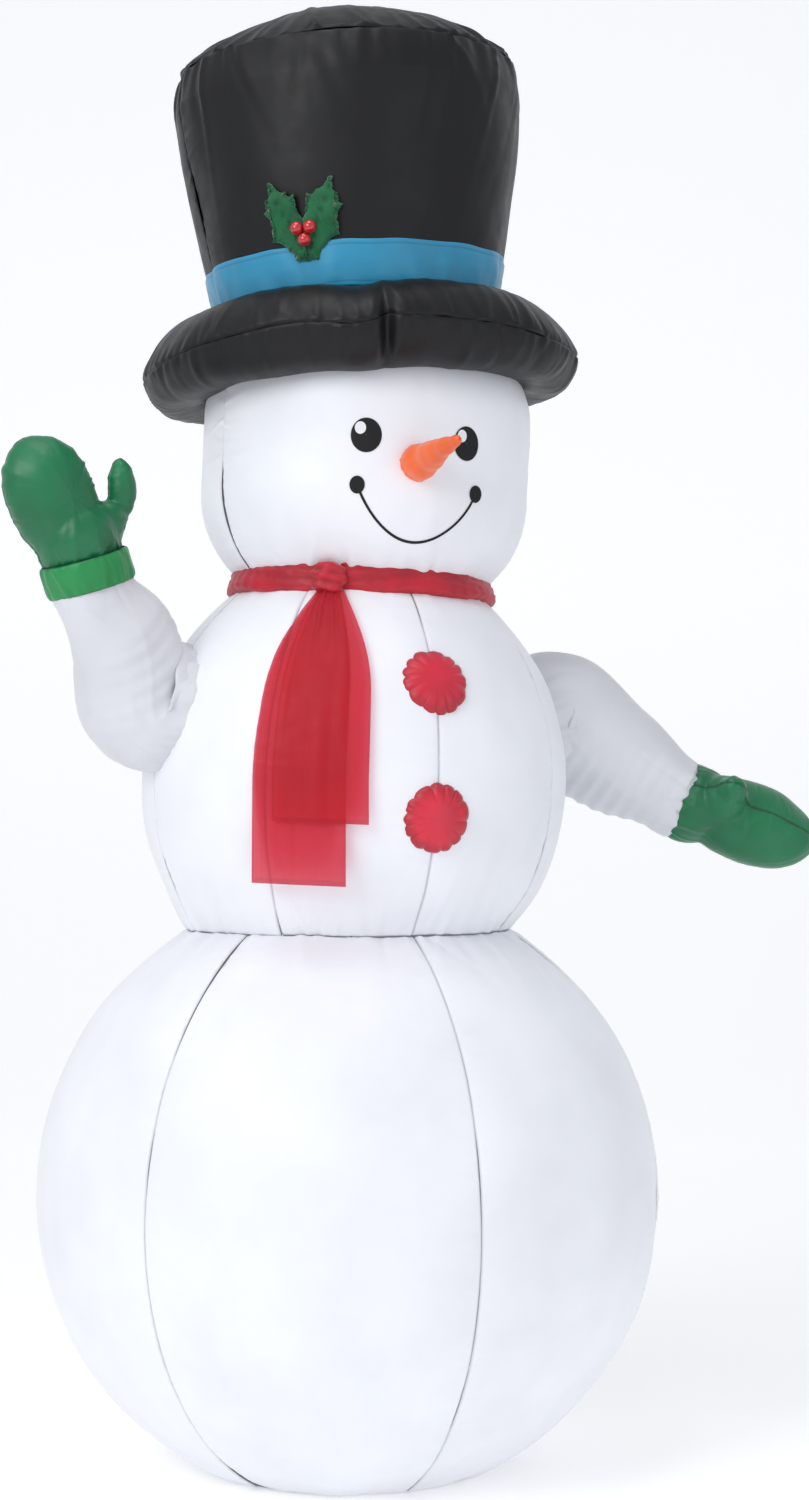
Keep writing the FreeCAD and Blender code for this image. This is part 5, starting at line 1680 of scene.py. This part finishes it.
class SNOWMAN_OT_torso(bpy.types.Operator):
    """Sew the eight gores of the torso"""
    bl_idname = "snowman.torso"
    bl_label = "Torso"
    bl_options = {"REGISTER", "UNDO"}

    def execute(self, context):
        torso()
        return {"FINISHED"}


class SNOWMAN_OT_head(bpy.types.Operator):
    """Sew the head, then print its eyes and mouth"""
    bl_idname = "snowman.head"
    bl_label = "Head and face"
    bl_options = {"REGISTER", "UNDO"}

    def execute(self, context):
        face(head()[:1])
        return {"FINISHED"}


class SNOWMAN_OT_nose(bpy.types.Operator):
    """Stuff the carrot nose"""
    bl_idname = "snowman.nose"
    bl_label = "Carrot nose"
    bl_options = {"REGISTER", "UNDO"}

    def execute(self, context):
        carrot_nose(finished("face_panel_cloth"))
        return {"FINISHED"}


class SNOWMAN_OT_buttons(bpy.types.Operator):
    """Puff the two coat buttons"""
    bl_idname = "snowman.buttons"
    bl_label = "Coat buttons"
    bl_options = {"REGISTER", "UNDO"}

    def execute(self, context):
        coat_buttons(finished("torso_panel_"))
        return {"FINISHED"}


class SNOWMAN_OT_hat(bpy.types.Operator):
    """Sew the hat with its brim, ribbon and holly"""
    bl_idname = "snowman.hat"
    bl_label = "Top hat"
    bl_options = {"REGISTER", "UNDO"}

    def execute(self, context):
        sides = hat_sides()
        hat_top()
        hat_brim()
        hat_band(sides)
        holly(sides)
        return {"FINISHED"}


class SNOWMAN_OT_scarf(bpy.types.Operator):
    """Wind and knot the scarf and hang its two ends"""
    bl_idname = "snowman.scarf"
    bl_label = "Scarf"
    bl_options = {"REGISTER", "UNDO"}

    def execute(self, context):
        scarf_band()
        scarf_knot()
        scarf_tails(finished("torso_panel_"))
        return {"FINISHED"}


class SNOWMAN_OT_arms(bpy.types.Operator):
    """Blow up both arms and their mittens"""
    bl_idname = "snowman.arms"
    bl_label = "Arms and mittens"
    bl_options = {"REGISTER", "UNDO"}

    def execute(self, context):
        right_arm()
        left_arm()
        return {"FINISHED"}


class SNOWMAN_OT_fittings(bpy.types.Operator):
    """Finish the blower, lamps, zip, rings and loops of the frame"""
    bl_idname = "snowman.fittings"
    bl_label = "Fittings"
    bl_options = {"REGISTER", "UNDO"}

    def execute(self, context):
        fittings()
        return {"FINISHED"}


class SNOWMAN_OT_stage(bpy.types.Operator):
    """Set up the floor, the lights and the camera"""
    bl_idname = "snowman.stage"
    bl_label = "Stage"
    bl_options = {"REGISTER", "UNDO"}

    def execute(self, context):
        stage()
        return {"FINISHED"}


PIECE_OPERATORS = (SNOWMAN_OT_lower_ball, SNOWMAN_OT_torso, SNOWMAN_OT_head, SNOWMAN_OT_nose,
                   SNOWMAN_OT_buttons, SNOWMAN_OT_hat, SNOWMAN_OT_scarf, SNOWMAN_OT_arms,
                   SNOWMAN_OT_fittings, SNOWMAN_OT_stage)


class SNOWMAN_PT_pieces(bpy.types.Panel):
    """Sizes, colours and pieces of the snowman"""
    bl_idname = "SNOWMAN_PT_pieces"
    bl_label = "Yard snowman"
    bl_space_type = "VIEW_3D"
    bl_region_type = "UI"
    bl_category = "Snowman"

    def draw(self, context):
        for group in (context.scene.snowman_sizes, context.scene.snowman_colours):
            column = self.layout.column()
            for name in group.bl_rna.properties.keys():
                if name not in ("name", "rna_type"):
                    column.prop(group, name)
        for operator in PIECE_OPERATORS:
            self.layout.operator(operator.bl_idname)


CLASSES = (SnowmanSizes, SnowmanColours) + PIECE_OPERATORS + (SNOWMAN_PT_pieces,)


def register():
    for kind in CLASSES:
        bpy.utils.register_class(kind)
    bpy.types.Scene.snowman_sizes = PointerProperty(type=SnowmanSizes)
    bpy.types.Scene.snowman_colours = PointerProperty(type=SnowmanColours)


def unregister():
    del bpy.types.Scene.snowman_colours
    del bpy.types.Scene.snowman_sizes
    for kind in reversed(CLASSES):
        bpy.utils.unregister_class(kind)


def main():
    register()
    bpy.ops.snowman.lower_ball()
    bpy.ops.snowman.torso()
    bpy.ops.snowman.head()
    bpy.ops.snowman.nose()
    bpy.ops.snowman.buttons()
    bpy.ops.snowman.hat()
    bpy.ops.snowman.scarf()
    bpy.ops.snowman.arms()
    bpy.ops.snowman.fittings()
    bpy.ops.snowman.stage()


if __name__ == "__main__":
    main()
